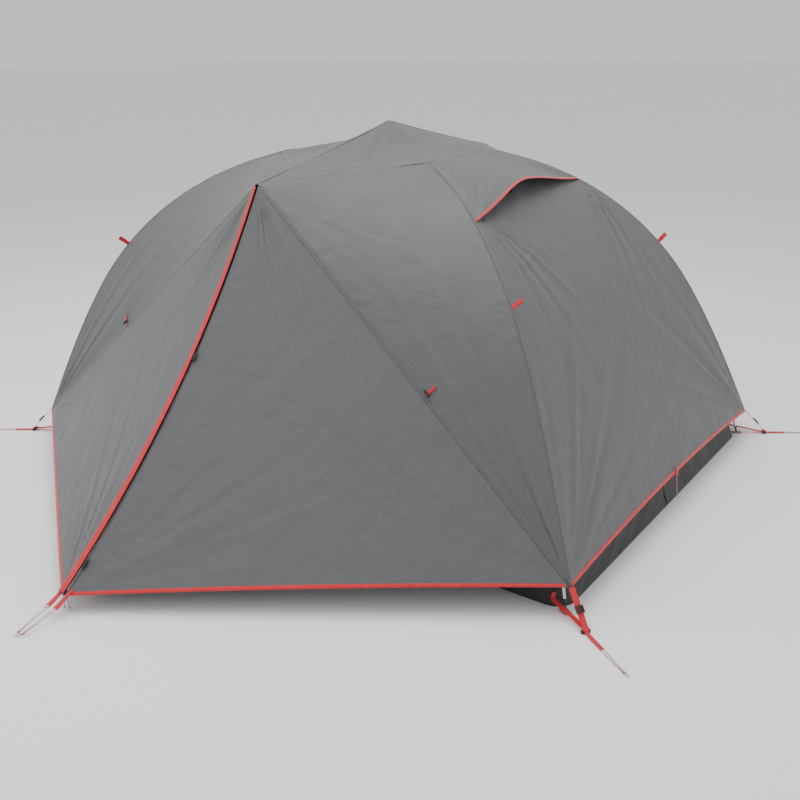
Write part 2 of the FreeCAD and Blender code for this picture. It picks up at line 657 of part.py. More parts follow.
# ---- floor tub ----
def rounded(half_x, half_y, radius, z):
    """Rounded rectangle on the ground plan."""
    edges = []
    corners = [(1, -1, -90), (1, 1, 0), (-1, 1, 90), (-1, -1, 180)]
    ends = []
    for sx, sy, angle in corners:
        centre = Vector(sx * (half_x - radius), sy * (half_y - radius), z)
        points = [centre + Vector(radius * math.cos(math.radians(angle + a)),
                                  radius * math.sin(math.radians(angle + a)), 0)
                  for a in (0, 45, 90)]
        ends.append((points[0], points[2]))
        edges.append(Part.Arc(*points).toShape())
    outline_edges = []
    for i in range(4):
        outline_edges.append(edges[i])
        outline_edges.append(Part.makeLine(ends[i][1], ends[(i + 1) % 4][0]))
    return Part.Wire(outline_edges)


tub_top_x = wall_foot.x + 10
tub_top_y = -wall_foot.y + 6


def tub_body(inset, bottom):
    slope_x = (tub_top_x - HALF_LENGTH) / TUB_HEIGHT
    slope_y = (tub_top_y - HALF_WIDTH) / TUB_HEIGHT
    low = rounded(HALF_LENGTH + slope_x * bottom - inset, HALF_WIDTH + slope_y * bottom - inset,
                  TUB_CORNER - inset, bottom)
    top = TUB_HEIGHT + (1 if inset else 0)
    high = rounded(HALF_LENGTH + slope_x * top - inset, HALF_WIDTH + slope_y * top - inset,
                   TUB_CORNER - inset, top)
    return Part.makeLoft([low, high], True, True)


save("floor_tub", tub_body(0, 0).cut(tub_body(SHEET, SHEET)).Solids[0])

# ---- main poles ----
def tube_along(start_run, end_run, sx, sy, drop, outer, bore):
    """Tube that follows the main pole's arcs between two runs from the crossing."""
    pieces = []
    begun = 0.0
    axis_side = diagonal(sx, sy)
    turn_axis = axis_side.cross(Vector(0, 0, 1))
    out, height = 0.0, CROSSING_HEIGHT
    for start, end, radius in ARCS:
        length = radius * (end - start)
        low, high = max(start_run, begun), min(end_run, begun + length)
        if high - low > 0.01:
            first = start + (low - begun) / radius
            reach, level, _ = pole_at(low)
            point = axis_side * reach + Vector(0, 0, level - drop)
            tangent = axis_side * math.cos(first) - Vector(0, 0, math.sin(first))
            inward = axis_side * -math.sin(first) - Vector(0, 0, math.cos(first))
            centre = point + inward * radius
            ring = Part.Face(Part.Wire(Part.makeCircle(outer, point, tangent)))
            if bore:
                ring = ring.cut(Part.Face(Part.Wire(Part.makeCircle(bore, point, tangent))))
            pieces.append(ring.revolve(centre, turn_axis * -1, math.degrees((high - low) / radius)))
        begun += length
    solid = pieces[0]
    for piece in pieces[1:]:
        solid = solid.fuse(piece)
    return solid.removeSplitter().Solids[0] if len(pieces) > 1 else solid.Solids[0]


FOOT_RUN = POLE_HALF_LENGTH - TIP_LENGTH / 2
SECTION_RUN = FOOT_RUN / (SECTIONS_PER_HALF - 0.5)
POLE_DROP = 2 * POLE_RADIUS + CROSSING_GAP


def half_joints():
    """Runs from the crossing where two tube sections meet."""
    return [SECTION_RUN * (i + 0.5) for i in range(SECTIONS_PER_HALF - 1)]


BORE = POLE_RADIUS - POLE_WALL
FERRULE_RADIUS = BORE - FERRULE_GAP
for name, sy, drop in (("main_pole_a", -1, 0.0), ("main_pole_b", 1, POLE_DROP)):
    sections = []
    for sx in (1, -1):
        ends = [0.0] + half_joints() + [FOOT_RUN]
        for i in range(len(ends) - 1):
            first = ends[i] + (TUBE_GAP / 2 if i else 0)
            sections.append(tube_along(first, ends[i + 1] - TUBE_GAP / 2, sx, sx * sy, drop,
                                       POLE_RADIUS, BORE))
    middle = sections[0].fuse(sections[SECTIONS_PER_HALF])
    sections = ([middle.removeSplitter().Solids[0]] + sections[1:SECTIONS_PER_HALF]
                + sections[SECTIONS_PER_HALF + 1:])
    ferrules = [tube_along(joint - FERRULE_LENGTH / 2, joint + FERRULE_LENGTH / 2, sx, sx * sy, drop,
                           FERRULE_RADIUS, FERRULE_RADIUS - FERRULE_WALL)
                for sx in (1, -1) for joint in half_joints()]
    save(name, *sections, *ferrules)

shock_cords = [tube_along(0.5, FOOT_RUN - 10, sx, sx * sy, drop, CORD_RADIUS, 0)
               for sy, drop in ((-1, 0.0), (1, POLE_DROP)) for sx in (1, -1)]
save("shock_cords", *shock_cords)

# ---- brow pole over the crossing, and its tips ----
brow_top = CROSSING_HEIGHT + POLE_DROP
brow_end_out = DOOR_TOP_OUT - BROW_END_IN
brow_fall = brow_top - (DOOR_TOP_HEIGHT - BROW_END_DOWN)
brow_radius = (brow_end_out ** 2 + brow_fall ** 2) / (2 * brow_fall)
brow_half_angle = math.asin(brow_end_out / brow_radius)
brow_centre = Vector(0, 0, brow_top - brow_radius)


def on_brow(angle):
    return brow_centre + Vector(0, -math.sin(angle), math.cos(angle)) * brow_radius


def brow_tube(first, last, outer, bore):
    point = on_brow(first)
    tangent = Vector(0, -math.cos(first), -math.sin(first))
    ring = Part.Face(Part.Wire(Part.makeCircle(outer, point, tangent)))
    if bore:
        ring = ring.cut(Part.Face(Part.Wire(Part.makeCircle(bore, point, tangent))))
    return ring.revolve(brow_centre, Vector(1, 0, 0), math.degrees(last - first)).Solids[0]


gap_angle = TUBE_GAP / 2 / brow_radius
ferrule_angle = FERRULE_LENGTH / 2 / brow_radius
brow_parts = [brow_tube(-brow_half_angle, -gap_angle, POLE_RADIUS, BORE),
              brow_tube(gap_angle, brow_half_angle, POLE_RADIUS, BORE),
              brow_tube(-ferrule_angle, ferrule_angle, FERRULE_RADIUS,
                        FERRULE_RADIUS - FERRULE_WALL)]
save("brow_pole", *brow_parts)

# ---- pole tips in the floor's grommets ----
def foot_frame(sx, sy):
    """Foot of a main pole: point, and the direction it points down."""
    out, height, slope = pole_at(FOOT_RUN)
    drop = POLE_DROP if sx * sy > 0 else 0.0
    point = diagonal(sx, sy) * out + Vector(0, 0, height - drop)
    return point, diagonal(sx, sy) * math.cos(slope) - Vector(0, 0, math.sin(slope))


tips = []
grommets = []
tabs = []
tab_low = TAB_TOP - GROMMET_THICK - 0.4
for sx in (1, -1):
    for sy in (1, -1):
        point, down = foot_frame(sx, sy)
        side = diagonal(sx, sy)
        foot_length = (point.z - 2.2) / -down.z
        foot = point + down * foot_length
        collar = Part.makeCylinder(POLE_RADIUS + 0.9, TIP_COLLAR, point + down * (TUBE_GAP / 2), down)
        plug = Part.makeCylinder(FERRULE_RADIUS, TIP_PLUG, point - down * (TIP_PLUG - CLEAR), down)
        pin = Part.makeCylinder(TIP_PIN_RADIUS, foot_length - 3, point + down * 2, down)
        tips.append(collar.fuse([plug, pin]).removeSplitter())
        hole_at = Vector(foot.x, foot.y, 0)
        disc = Part.makeCylinder(GROMMET_RADIUS, GROMMET_THICK, hole_at + Vector(0, 0, tab_low))
        ring = disc.cut(Part.makeCylinder(GROMMET_HOLE, 10, hole_at + Vector(0, 0, -1)))
        grommets.append(ring)
        across = Vector(-side.y, side.x, 0)
        start = side * (HALF_DIAGONAL - TUB_CORNER * 0.31 + 2)
        length = (hole_at - start).Length + 16
        tab = plank(start + Vector(0, 0, tab_low + (GROMMET_THICK - WEBBING) / 2), side, across,
                    Vector(0, 0, 1), length, TAB_WIDTH, WEBBING)
        tabs.append(tab.cut(Part.makeCylinder(GROMMET_RADIUS + 0.2, 10, hole_at + Vector(0, 0, -1))))
for side in (1, -1):
    end = on_brow(side * brow_half_angle)
    tangent = Vector(0, -side * math.cos(brow_half_angle), -math.sin(brow_half_angle))
    cap = Part.makeCylinder(POLE_RADIUS + 1.2, BROW_CAP, end + tangent * (TUBE_GAP / 2), tangent)
    plug = Part.makeCylinder(FERRULE_RADIUS, TIP_PLUG, end - tangent * (TIP_PLUG - CLEAR), tangent)
    tips.append(cap.fuse(plug).removeSplitter())
save("pole_tips", *tips)
save("corner_grommets", *grommets)
save("grommet_tabs", *tabs)

# ---- hub that carries all three poles at the crossing ----
hub_low = CROSSING_HEIGHT - POLE_DROP - POLE_RADIUS - HUB_DEPTH
hub_high = ROOF_APEX.z - SHEET - HUB_HEADROOM
hub = Part.makeCylinder(HUB_RADIUS, hub_high - hub_low, Vector(0, 0, hub_low))
for sy, drop in ((-1, 0.0), (1, POLE_DROP)):
    for sx in (1, -1):
        hub = hub.cut(tube_along(0, HUB_RADIUS * 2, sx, sx * sy, drop, POLE_RADIUS + CLEAR, 0))
reach = HUB_RADIUS * 1.5 / brow_radius
hub = hub.cut(brow_tube(-reach, reach, POLE_RADIUS + CLEAR, 0))
save("crossing_hub", max(hub.Solids, key=lambda s: s.Volume))

# ---- clips that hang the inner tent from the poles ----
clips = []
for sx in (1, -1):
    for sy in (1, -1):
        drop = POLE_DROP if sx * sy > 0 else 0.0
        for i in range(CLIPS_PER_LEG):
            run = INNER_TOP_RUN + (INNER_FOOT_RUN - INNER_TOP_RUN) * (i + 0.6) / CLIPS_PER_LEG
            out, height, slope = pole_at(run)
            side = diagonal(sx, sy)
            point = side * out + Vector(0, 0, height - drop)
            along = side * math.cos(slope) - Vector(0, 0, math.sin(slope))
            inward = side * -math.sin(slope) - Vector(0, 0, math.cos(slope))
            across = along.cross(inward)
            start = point - along * (CLIP_WIDTH / 2)
            ring = Part.makeCylinder(POLE_RADIUS + CLEAR + CLIP_WALL, CLIP_WIDTH, start, along)
            tail_length = INNER_OFFSET - 3 - drop * math.cos(slope)
            tail = plank(start, inward, across, along, tail_length, CLIP_TAIL, CLIP_WIDTH)
            clip = ring.fuse(tail)
            bore = Part.makeCylinder(POLE_RADIUS + CLEAR, CLIP_WIDTH + 2, start - along, along)
            mouth = plank(start - along, inward * -1, across, along,
                          POLE_RADIUS + 10, 2 * POLE_RADIUS - 2.4, CLIP_WIDTH + 2)
            clips.append(clip.cut(bore).cut(mouth).removeSplitter())
save("pole_clips", *clips)

# ---- corner webbing, buckles and pegging loops ----
floor_straps = []
fly_straps = []
locks = []
bars = []
corner_cords = {1: [], -1: []}
BAR_OUT = HALF_DIAGONAL + ANCHOR_REACH
for sx in (1, -1):
    for sy in (1, -1):
        side = diagonal(sx, sy)
        across = Vector(-side.y, side.x, 0) * (-sx * sy)
        bar_centre = side * BAR_OUT
        bar = plank(bar_centre - side * (ANCHOR_BAR / 2) + Vector(0, 0, CLEAR), side, across,
                    Vector(0, 0, 1), ANCHOR_BAR, ANCHOR_BAR_LENGTH, ANCHOR_BAR)
        slot = plank(bar_centre - side * (ANCHOR_SLOT / 2) + Vector(0, 0, -1), side, across,
                     Vector(0, 0, 1), ANCHOR_SLOT, ANCHOR_BAR_LENGTH - 8, ANCHOR_BAR + 4)
        bars.append(bar.cut(slot))
        start = Vector(sx * (HALF_LENGTH - TUB_CORNER * 0.55), sy * (HALF_WIDTH + 3), TUB_STRAP_HEIGHT)
        end = bar_centre - side * (ANCHOR_BAR / 2 + 5 * CLEAR) + across * 4 + Vector(0, 0, 5)
        run = end - start
        flat = Vector(run).normalize().cross(Vector(0, 0, 1))
        up = flat.cross(Vector(run).normalize())
        strap = plank(start, run, flat, up, run.Length, STRAP_WIDTH, WEBBING)
        tongue = plank(bar_centre + side * (ANCHOR_BAR / 2 + CLEAR) + Vector(0, 0, 1), side, across,
                       Vector(0, 0, 1), TONGUE_LENGTH, TONGUE_WIDTH, 2 * WEBBING)
        floor_straps += [strap, tongue]
        top = hem_corner(sx, sy) + side * 3 + Vector(0, 0, -3)
        foot = bar_centre + Vector(0, 0, ANCHOR_BAR + 2 * CLEAR + WEBBING)
        fall = foot - top
        lift = across.cross(Vector(fall).normalize())
        lift = lift if lift.dot(side) > 0 else lift * -1
        fly_straps.append(plank(top, fall, across, lift, fall.Length, FLY_STRAP_WIDTH, WEBBING))
        lock_at = top + fall * LADDER_LOCK_PLACE + lift * (WEBBING + CLEAR)
        lock = plank(lock_at, fall, across, lift, LADDER_LOCK_LENGTH, FLY_STRAP_WIDTH + 5,
                     LADDER_LOCK_THICK)
        for place in (0.2, 0.6):
            window_at = lock_at + Vector(fall).normalize() * (place * LADDER_LOCK_LENGTH) - lift
            window = plank(window_at, fall, across, lift, 4.5, FLY_STRAP_WIDTH - 1,
                           LADDER_LOCK_THICK + 4)
            lock = lock.cut(window)
        locks.append(lock)
        tongue_end = bar_centre + side * (ANCHOR_BAR / 2 + 2 * CLEAR + TONGUE_LENGTH)
        knot = tongue_end + side * PEG_CORD_LENGTH
        level = Vector(0, 0, PEG_CORD_RADIUS + 0.6)
        for aside in (-PEG_CORD_SPREAD, PEG_CORD_SPREAD):
            corner_cords[sx].append(rod(tongue_end + across * aside + level,
                                        knot + across * (aside * PEG_CORD_CLOSE) + level,
                                        PEG_CORD_RADIUS))
        if sx > 0 and sy < 0:
            print("corner", side, "bar", bar_centre, "tongue end", tongue_end, "knot", knot)
save("floor_corner_straps", *floor_straps)
save("fly_corner_straps", *fly_straps)
save("ladder_locks", *locks)
save("anchor_bars", *bars)
save("peg_cords_right", *corner_cords[1])
save("peg_cords_left", *corner_cords[-1])

# ---- guy-out tabs on the poles and at the middle of each end hem ----
guy_run = run_at_height(GUY_HEIGHT, FLY_OFFSET)
guy_tabs = []
for sx, sy in ((1, -1), (1, 1), (-1, 1), (-1, -1)):
    out, height, slope = pole_at(guy_run)
    side = diagonal(sx, sy)
    normal = side * math.sin(slope) + Vector(0, 0, math.cos(slope))
    across = Vector(-side.y, side.x, 0)
    along = across.cross(normal)
    foot = seam(guy_run, sx, sy, FLY_OFFSET, HEM_FLARE) + normal * CLEAR
    guy_tabs.append(plank(foot - along * (GUY_THICK / 2), normal + across * GUY_LEAN, along,
                          across, GUY_LENGTH, GUY_WIDTH, GUY_THICK))
mid_hem = end_surface(1, 0.5)
hem_tab = plank(mid_hem + Vector(2.0, 0, -4), Vector(0, 0, 1), Vector(0, 1, 0), Vector(1, 0, 0),
                HEM_TAB_LENGTH, GUY_WIDTH, 2.0)
save("guy_out_tabs", *guy_tabs, hem_tab, turned(hem_tab))
loop_top = mid_hem + Vector(3.0, 0, -6)
hem_loops = [rod(loop_top + Vector(0, dy, 0), loop_top + Vector(6, dy * 0.4, -HEM_LOOP_DROP),
                 PEG_CORD_RADIUS) for dy in (-PEG_CORD_SPREAD, PEG_CORD_SPREAD)]
save("hem_cords", *hem_loops, *[turned(c) for c in hem_loops])
print("mid hem", mid_hem)

# ---- tie-backs that hold a rolled door half at its side seam ----
loops = []
toggles = []
for sx in (-1, 1):
    seam_point = blend(DOOR_TOP, hem_corner(sx), TIE_PLACE)
    down = Vector(hem_corner(sx) - DOOR_TOP).normalize()
    pole_side = (fly_pole_seam(TIE_PLACE, sx) - seam_point).normalize()
    normal = down.cross(pole_side)
    normal = normal if normal.y < 0 else normal * -1
    normal.normalize()
    sideways = normal.cross(down)
    sideways = sideways if sideways.x * sx > 0 else sideways * -1
    start = seam_point + sideways * 10 + normal * 1.5
    loops.append(plank(start, sideways, down, normal, TIE_LENGTH, TIE_WIDTH, 2.0))
    toggle_at = start + sideways * TOGGLE_OUT + normal * (TOGGLE_RADIUS + 2.0 + 2 * CLEAR)
    toggles.append(Part.makeCylinder(TOGGLE_RADIUS, TOGGLE_LENGTH,
                                     toggle_at - down * (TOGGLE_LENGTH / 2), down))
save("tie_back_loops", *loops, *[turned(p) for p in loops])
save("tie_back_toggles", *toggles, *[turned(p) for p in toggles])

corner = hem_corner(1)
print("door hinge", DOOR_TOP, "to", corner)
print("inner door hinge", on_wall(-DOOR_HINGE_OUT, DOOR_RISE), "up", wall_up, "out", wall_out)
print("inner door centre", on_wall(0, DOOR_RISE), "sweep deg", math.degrees(CHAIN_SWEEP))
print("guy points", [seam(guy_run, sx, sy, FLY_OFFSET) for sx in (1, -1) for sy in (1, -1)])
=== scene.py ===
# %% [markdown]
# # A pitched dome tent
# The tent is cloth pulled tight over a bent frame. Two long poles cross overhead and run down
# to the floor's corners, and a short brow pole lies across them and holds the two doors' tops out.
# The poles, tips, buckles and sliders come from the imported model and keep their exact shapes.
# The cloth is made here, because a solid of even thickness can't crease, pucker or fold over.
# One function gives the main pole's line, and every seam, panel and strap is worked out from it.

import math

import bmesh
import bpy
import numpy as np
from mathutils import Matrix, Vector


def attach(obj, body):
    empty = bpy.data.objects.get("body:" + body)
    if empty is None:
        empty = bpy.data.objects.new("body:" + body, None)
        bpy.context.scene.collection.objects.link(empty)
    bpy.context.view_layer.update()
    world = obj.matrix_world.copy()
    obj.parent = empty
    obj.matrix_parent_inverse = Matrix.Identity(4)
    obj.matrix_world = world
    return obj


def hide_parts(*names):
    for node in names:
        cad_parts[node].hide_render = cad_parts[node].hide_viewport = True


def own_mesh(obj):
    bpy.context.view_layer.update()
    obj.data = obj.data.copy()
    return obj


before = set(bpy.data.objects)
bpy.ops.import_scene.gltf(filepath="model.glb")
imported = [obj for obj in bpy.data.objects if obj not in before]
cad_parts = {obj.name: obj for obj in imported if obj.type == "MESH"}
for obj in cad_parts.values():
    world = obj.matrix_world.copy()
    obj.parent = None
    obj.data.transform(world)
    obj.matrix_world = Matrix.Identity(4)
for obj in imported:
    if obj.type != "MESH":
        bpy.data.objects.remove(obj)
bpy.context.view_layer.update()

# %% [markdown]
# ## Camera, light and floor
# A tent this size fills the view from about three and a half metres with a short portrait lens.
# Most of the light comes from a wide soft box overhead, so that the roof is the brightest cloth
# and the walls darken towards the ground. A weak sky fills the shaded end.

# %% Camera
AZIMUTH = math.radians(36.073)
ELEVATION = math.radians(21.096)
ROLL = math.radians(-0.717)
DISTANCE = 3.526
TARGET = Vector((0.023, 0.013, 0.130))
SENSOR = 36.0
LENS = 41.6

back = Vector((math.sin(AZIMUTH) * math.cos(ELEVATION), -math.cos(AZIMUTH) * math.cos(ELEVATION),
               math.sin(ELEVATION)))
right = Vector((math.cos(AZIMUTH), math.sin(AZIMUTH), 0))
up = back.cross(right)
level = right * math.cos(ROLL) + up * math.sin(ROLL)
upright = up * math.cos(ROLL) - right * math.sin(ROLL)
camera_data = bpy.data.cameras.new("camera")
camera_data.sensor_width = SENSOR
camera_data.lens = LENS
camera = bpy.data.objects.new("camera", camera_data)
camera.matrix_world = (Matrix.Translation(TARGET + back * DISTANCE)
                       @ Matrix((level, upright, back)).transposed().to_4x4())
bpy.context.collection.objects.link(camera)
bpy.context.scene.camera = camera
print("camera at", [round(x, 3) for x in camera.matrix_world.translation])


# %% Floor, soft boxes and sky
def soft_box(name, place, aim, size, power, tint=(1, 1, 1)):
    """A square area light at a place, pointing at aim."""
    data = bpy.data.lights.new(name, "AREA")
    data.shape = "SQUARE"
    data.size = size
    data.energy = power
    data.color = tint
    lamp = bpy.data.objects.new(name, data)
    lamp.location = place
    lamp.rotation_euler = (Vector(aim) - Vector(place)).to_track_quat("-Z", "Y").to_euler()
    bpy.context.collection.objects.link(lamp)


soft_box("overhead", (-0.2, -0.6, 3.6), (0, -0.1, 0.5), 3.4, 120)
soft_box("front_left", (-3.2, -4.6, 2.2), (0, -0.5, 0.5), 2.6, 48, (1.0, 0.99, 0.98))
soft_box("right_fill", (4.6, -0.6, 2.0), (0.4, 0, 0.5), 2.4, 26, (1.0, 0.985, 0.96))

sky = bpy.data.worlds.new("sky")
sky.use_nodes = True
sky.node_tree.nodes["Background"].inputs["Color"].default_value = (0.98, 0.99, 1.0, 1)
sky.node_tree.nodes["Background"].inputs["Strength"].default_value = 0.80
bpy.context.scene.world = sky

floor_mesh = bpy.data.meshes.new("floor")
FLOOR_SPAN = 60.0
floor_mesh.from_pydata([(x * FLOOR_SPAN, y * FLOOR_SPAN, -0.0006) for x, y in
                        ((-1, -1), (1, -1), (1, 1), (-1, 1))], [], [(0, 1, 2, 3)])
floor = bpy.data.objects.new("floor", floor_mesh)
bpy.context.collection.objects.link(floor)
print(len(bpy.data.lights), "soft boxes")

# %% [markdown]
# ## Materials
# Tent cloth is a plain weave with a thin coating: a soft shine, a very fine grain, and shallow
# creases left from its stuff sack. Webbing and binding tape have ribs across them and a row of
# stitches near each edge. Each pattern reads the piece's own UV map, which is in metres along
# and across the cloth, so it follows the piece round every bend at its real scale.


# %% Node helpers
def new_material(name, colour, roughness, metallic=0.0, sheen=0.0, specular=0.5):
    """A material with its even values set on the shader's own sockets."""
    material = bpy.data.materials.new(name)
    material.use_nodes = True
    shader = material.node_tree.nodes["Principled BSDF"]
    shader.inputs["Base Color"].default_value = (*colour, 1)
    shader.inputs["Roughness"].default_value = roughness
    shader.inputs["Metallic"].default_value = metallic
    shader.inputs["Specular IOR Level"].default_value = specular
    shader.inputs["Sheen Weight"].default_value = sheen
    shader.inputs["Sheen Roughness"].default_value = 0.5
    return material, material.node_tree, shader


def coordinates(tree, kind):
    """Coordinates of a kind, 'UV' or 'Object', in metres."""
    return tree.nodes.new("ShaderNodeTexCoord").outputs[kind]


def parts_of(tree, vector):
    """Socket of each of a vector's three parts, by its letter."""
    node = tree.nodes.new("ShaderNodeSeparateXYZ")
    tree.links.new(vector, node.inputs["Vector"])
    return node.outputs


def noise(tree, vector, scale, detail=3.0, roughness=0.5):
    """Cloudy pattern, with about scale patches to a metre."""
    node = tree.nodes.new("ShaderNodeTexNoise")
    node.inputs["Scale"].default_value = scale
    node.inputs["Detail"].default_value = detail
    node.inputs["Roughness"].default_value = roughness
    tree.links.new(vector, node.inputs["Vector"])
    return node.outputs["Fac"]


def bands(tree, vector, direction, thread):
    """Rounded ridges in one direction: the threads of a weave. A Wave Texture of scale 1 has a
    ridge each 0.314 m, so this scale gives a ridge and its hollow two threads' width."""
    node = tree.nodes.new("ShaderNodeTexWave")
    node.wave_type = "BANDS"
    node.bands_direction = direction
    node.inputs["Scale"].default_value = 1 / thread / 6.28
    node.inputs["Distortion"].default_value = 0.4
    tree.links.new(vector, node.inputs["Vector"])
    return node.outputs["Fac"]


def arithmetic(tree, operation, a, b):
    """One sum on two sockets or numbers."""
    node = tree.nodes.new("ShaderNodeMath")
    node.operation = operation
    for socket, value in zip(node.inputs, (a, b)):
        if isinstance(value, (int, float)):
            socket.default_value = value
        else:
            tree.links.new(value, socket)
    return node.outputs["Value"]


def blended(tree, first, second, share):
    """First times a share, plus second times the rest."""
    return arithmetic(tree, "ADD", arithmetic(tree, "MULTIPLY", first, share),
                      arithmetic(tree, "MULTIPLY", second, 1 - share))


def remap(tree, value, low, high, to_low, to_high):
    """Value carried from one range on to another, and held inside it."""
    node = tree.nodes.new("ShaderNodeMapRange")
    tree.links.new(value, node.inputs["Value"])
    for name, number in (("From Min", low), ("From Max", high), ("To Min", to_low), ("To Max", to_high)):
        node.inputs[name].default_value = number
    return node.outputs["Result"]


def tinted(tree, shader, factor, dark, light):
    """Base colour between two tones, by a 0 to 1 factor."""
    node = tree.nodes.new("ShaderNodeMix")
    node.data_type = "RGBA"
    node.inputs["A"].default_value = (*dark, 1)
    node.inputs["B"].default_value = (*light, 1)
    tree.links.new(factor, node.inputs["Factor"])
    tree.links.new(node.outputs["Result"], shader.inputs["Base Color"])


def bumped(tree, shader, heights):
    """Chain of bumps, each (height socket, depth in metres, strength)."""
    normal = None
    for height, depth, strength in heights:
        node = tree.nodes.new("ShaderNodeBump")
        node.inputs["Distance"].default_value = depth
        node.inputs["Strength"].default_value = strength
        tree.links.new(height, node.inputs["Height"])
        if normal:
            tree.links.new(normal, node.inputs["Normal"])
        normal = node.outputs["Normal"]
    tree.links.new(normal, shader.inputs["Normal"])


print("node helpers ready")


# %% Cloth, tape and webbing
def coated_cloth(name, colour, roughness=0.52, thread=0.0011, crease=1.0):
    """Plain weave with a coating, faint mottling and shallow stuff-sack creases."""
    material, tree, shader = new_material(name, colour, roughness, sheen=0.12, specular=0.42)
    cloth = coordinates(tree, "UV")
    mottle = noise(tree, cloth, 9.0, 4.0)
    grain = noise(tree, cloth, 900.0, 2.0)
    factor = remap(tree, blended(tree, mottle, grain, 0.6), 0.3, 0.7, 0, 1)
    tinted(tree, shader, factor, [c * 0.955 for c in colour], [min(1, c * 1.045) for c in colour])
    tree.links.new(remap(tree, mottle, 0.3, 0.7, roughness - 0.05, roughness + 0.07),
                   shader.inputs["Roughness"])
    weave = arithmetic(tree, "MULTIPLY", *(bands(tree, cloth, axis, thread) for axis in "XY"))
    creases = noise(tree, cloth, 13.0, 5.0, 0.62)
    small = noise(tree, cloth, 46.0, 3.0, 0.55)
    bumped(tree, shader, [(creases, 0.010 * crease, 0.5), (small, 0.0016 * crease, 0.5),
                          (weave, 0.00012, 0.6)])
    return material


def ribbed_tape(name, colour, width, stitch_in=0.0022, rib=0.0014, roughness=0.62):
    """Woven tape: ribs across it, and a dashed row of stitches in from each edge (UV.y = 0..width)."""
    material, tree, shader = new_material(name, colour, roughness, sheen=0.25, specular=0.3)
    along = coordinates(tree, "UV")
    split = parts_of(tree, along)
    ribs = bands(tree, along, "X", rib)
    edge = arithmetic(tree, "PINGPONG", split["Y"], width / 2)
    off_line = arithmetic(tree, "ABSOLUTE", arithmetic(tree, "SUBTRACT", edge, stitch_in), 0)
    on_line = arithmetic(tree, "LESS_THAN", off_line, 0.0006)
    dash = arithmetic(tree, "GREATER_THAN", arithmetic(tree, "PINGPONG", split["X"], 0.0019),
                      0.0006)
    stitch = arithmetic(tree, "MULTIPLY", on_line, dash)
    wear = noise(tree, along, 60.0, 4.0)
    shade = arithmetic(tree, "SUBTRACT", blended(tree, ribs, wear, 0.25),
                       arithmetic(tree, "MULTIPLY", on_line, 0.25))
    tinted(tree, shader, remap(tree, shade, 0.2, 0.75, 0, 1), [c * 0.80 for c in colour],
           [min(1, c * 1.10 + 0.012) for c in colour])
    bumped(tree, shader, [(ribs, 0.0003, 0.7), (stitch, 0.0007, 0.8), (wear, 0.0006, 0.3)])
    return material


GREY = (0.094, 0.0955, 0.100)
RED = (0.60, 0.008, 0.016)
fly_cloth = coated_cloth("fly_cloth_grey", GREY)
hood_cloth = coated_cloth("hood_cloth_grey", GREY, crease=0.7)
floor_cloth = coated_cloth("floor_cloth_charcoal", (0.022, 0.0225, 0.023), 0.58, crease=1.3)
BINDING_WIDTH = 0.011
STRAP_WIDTH = 0.015
FLY_STRAP_WIDTH = 0.018
red_binding = ribbed_tape("binding_red", RED, 2 * BINDING_WIDTH)
red_webbing = ribbed_tape("webbing_red", RED, STRAP_WIDTH, rib=0.0019)
red_wide_webbing = ribbed_tape("webbing_wide_red", RED, FLY_STRAP_WIDTH, rib=0.0019)
grey_tape = ribbed_tape("seam_tape_grey", [c * 0.97 for c in GREY], 0.012, 0.0025, 0.0012)
print("cloth and tape materials made")


# %% Netting, metal, plastic and cord
def netting(name, colour, hole=0.0024, solid_below=None):
    """Fine mesh: a lattice of threads with clear holes, and plain cloth below a height."""
    material, tree, shader = new_material(name, colour, 0.75, sheen=0.2, specular=0.2)
    cloth = coordinates(tree, "UV")
    split = parts_of(tree, cloth)
    lattice = None
    for axis in ("X", "Y"):
        thread = arithmetic(tree, "LESS_THAN",
                            arithmetic(tree, "PINGPONG", split[axis], hole / 2), hole * 0.17)
        lattice = thread if lattice is None else arithmetic(tree, "MAXIMUM", lattice, thread)
    if solid_below is not None:
        height = parts_of(tree, coordinates(tree, "Object"))["Z"]
        low = arithmetic(tree, "LESS_THAN", height, solid_below)
        lattice = arithmetic(tree, "MAXIMUM", lattice, low)
    tree.links.new(lattice, shader.inputs["Alpha"])
    soft = noise(tree, cloth, 20.0)
    tinted(tree, shader, soft, [c * 0.85 for c in colour], colour)
    bumped(tree, shader, [(lattice, 0.0002, 0.5), (soft, 0.003, 0.4)])
    return material


def moulded(name, colour, roughness=0.45):
    """Moulded plastic: fine spark-eroded grain and slight polish where it is handled."""
    material, tree, shader = new_material(name, colour, roughness, specular=0.45)
    place = coordinates(tree, "Object")
    grain = noise(tree, place, 1800.0, 2.0)
    wear = noise(tree, place, 55.0, 4.0)
    tree.links.new(remap(tree, wear, 0.35, 0.7, roughness - 0.1, roughness + 0.12),
                   shader.inputs["Roughness"])
    tinted(tree, shader, wear, [c * 0.8 for c in colour], [c * 1.25 + 0.004 for c in colour])
    bumped(tree, shader, [(grain, 0.00008, 0.6)])
    return material


def metal(name, colour, roughness):
    """Drawn or cast metal: faint streaks, and scuffs that change its shine."""
    material, tree, shader = new_material(name, colour, roughness, metallic=1.0)
    place = coordinates(tree, "Object")
    scuffs = noise(tree, place, 140.0, 5.0, 0.65)
    tree.links.new(remap(tree, scuffs, 0.35, 0.7, roughness - 0.08, roughness + 0.14),
                   shader.inputs["Roughness"])
    tinted(tree, shader, scuffs, [c * 0.86 for c in colour], [min(1, c * 1.06) for c in colour])
    bumped(tree, shader, [(scuffs, 0.00005, 0.5)])
    return material


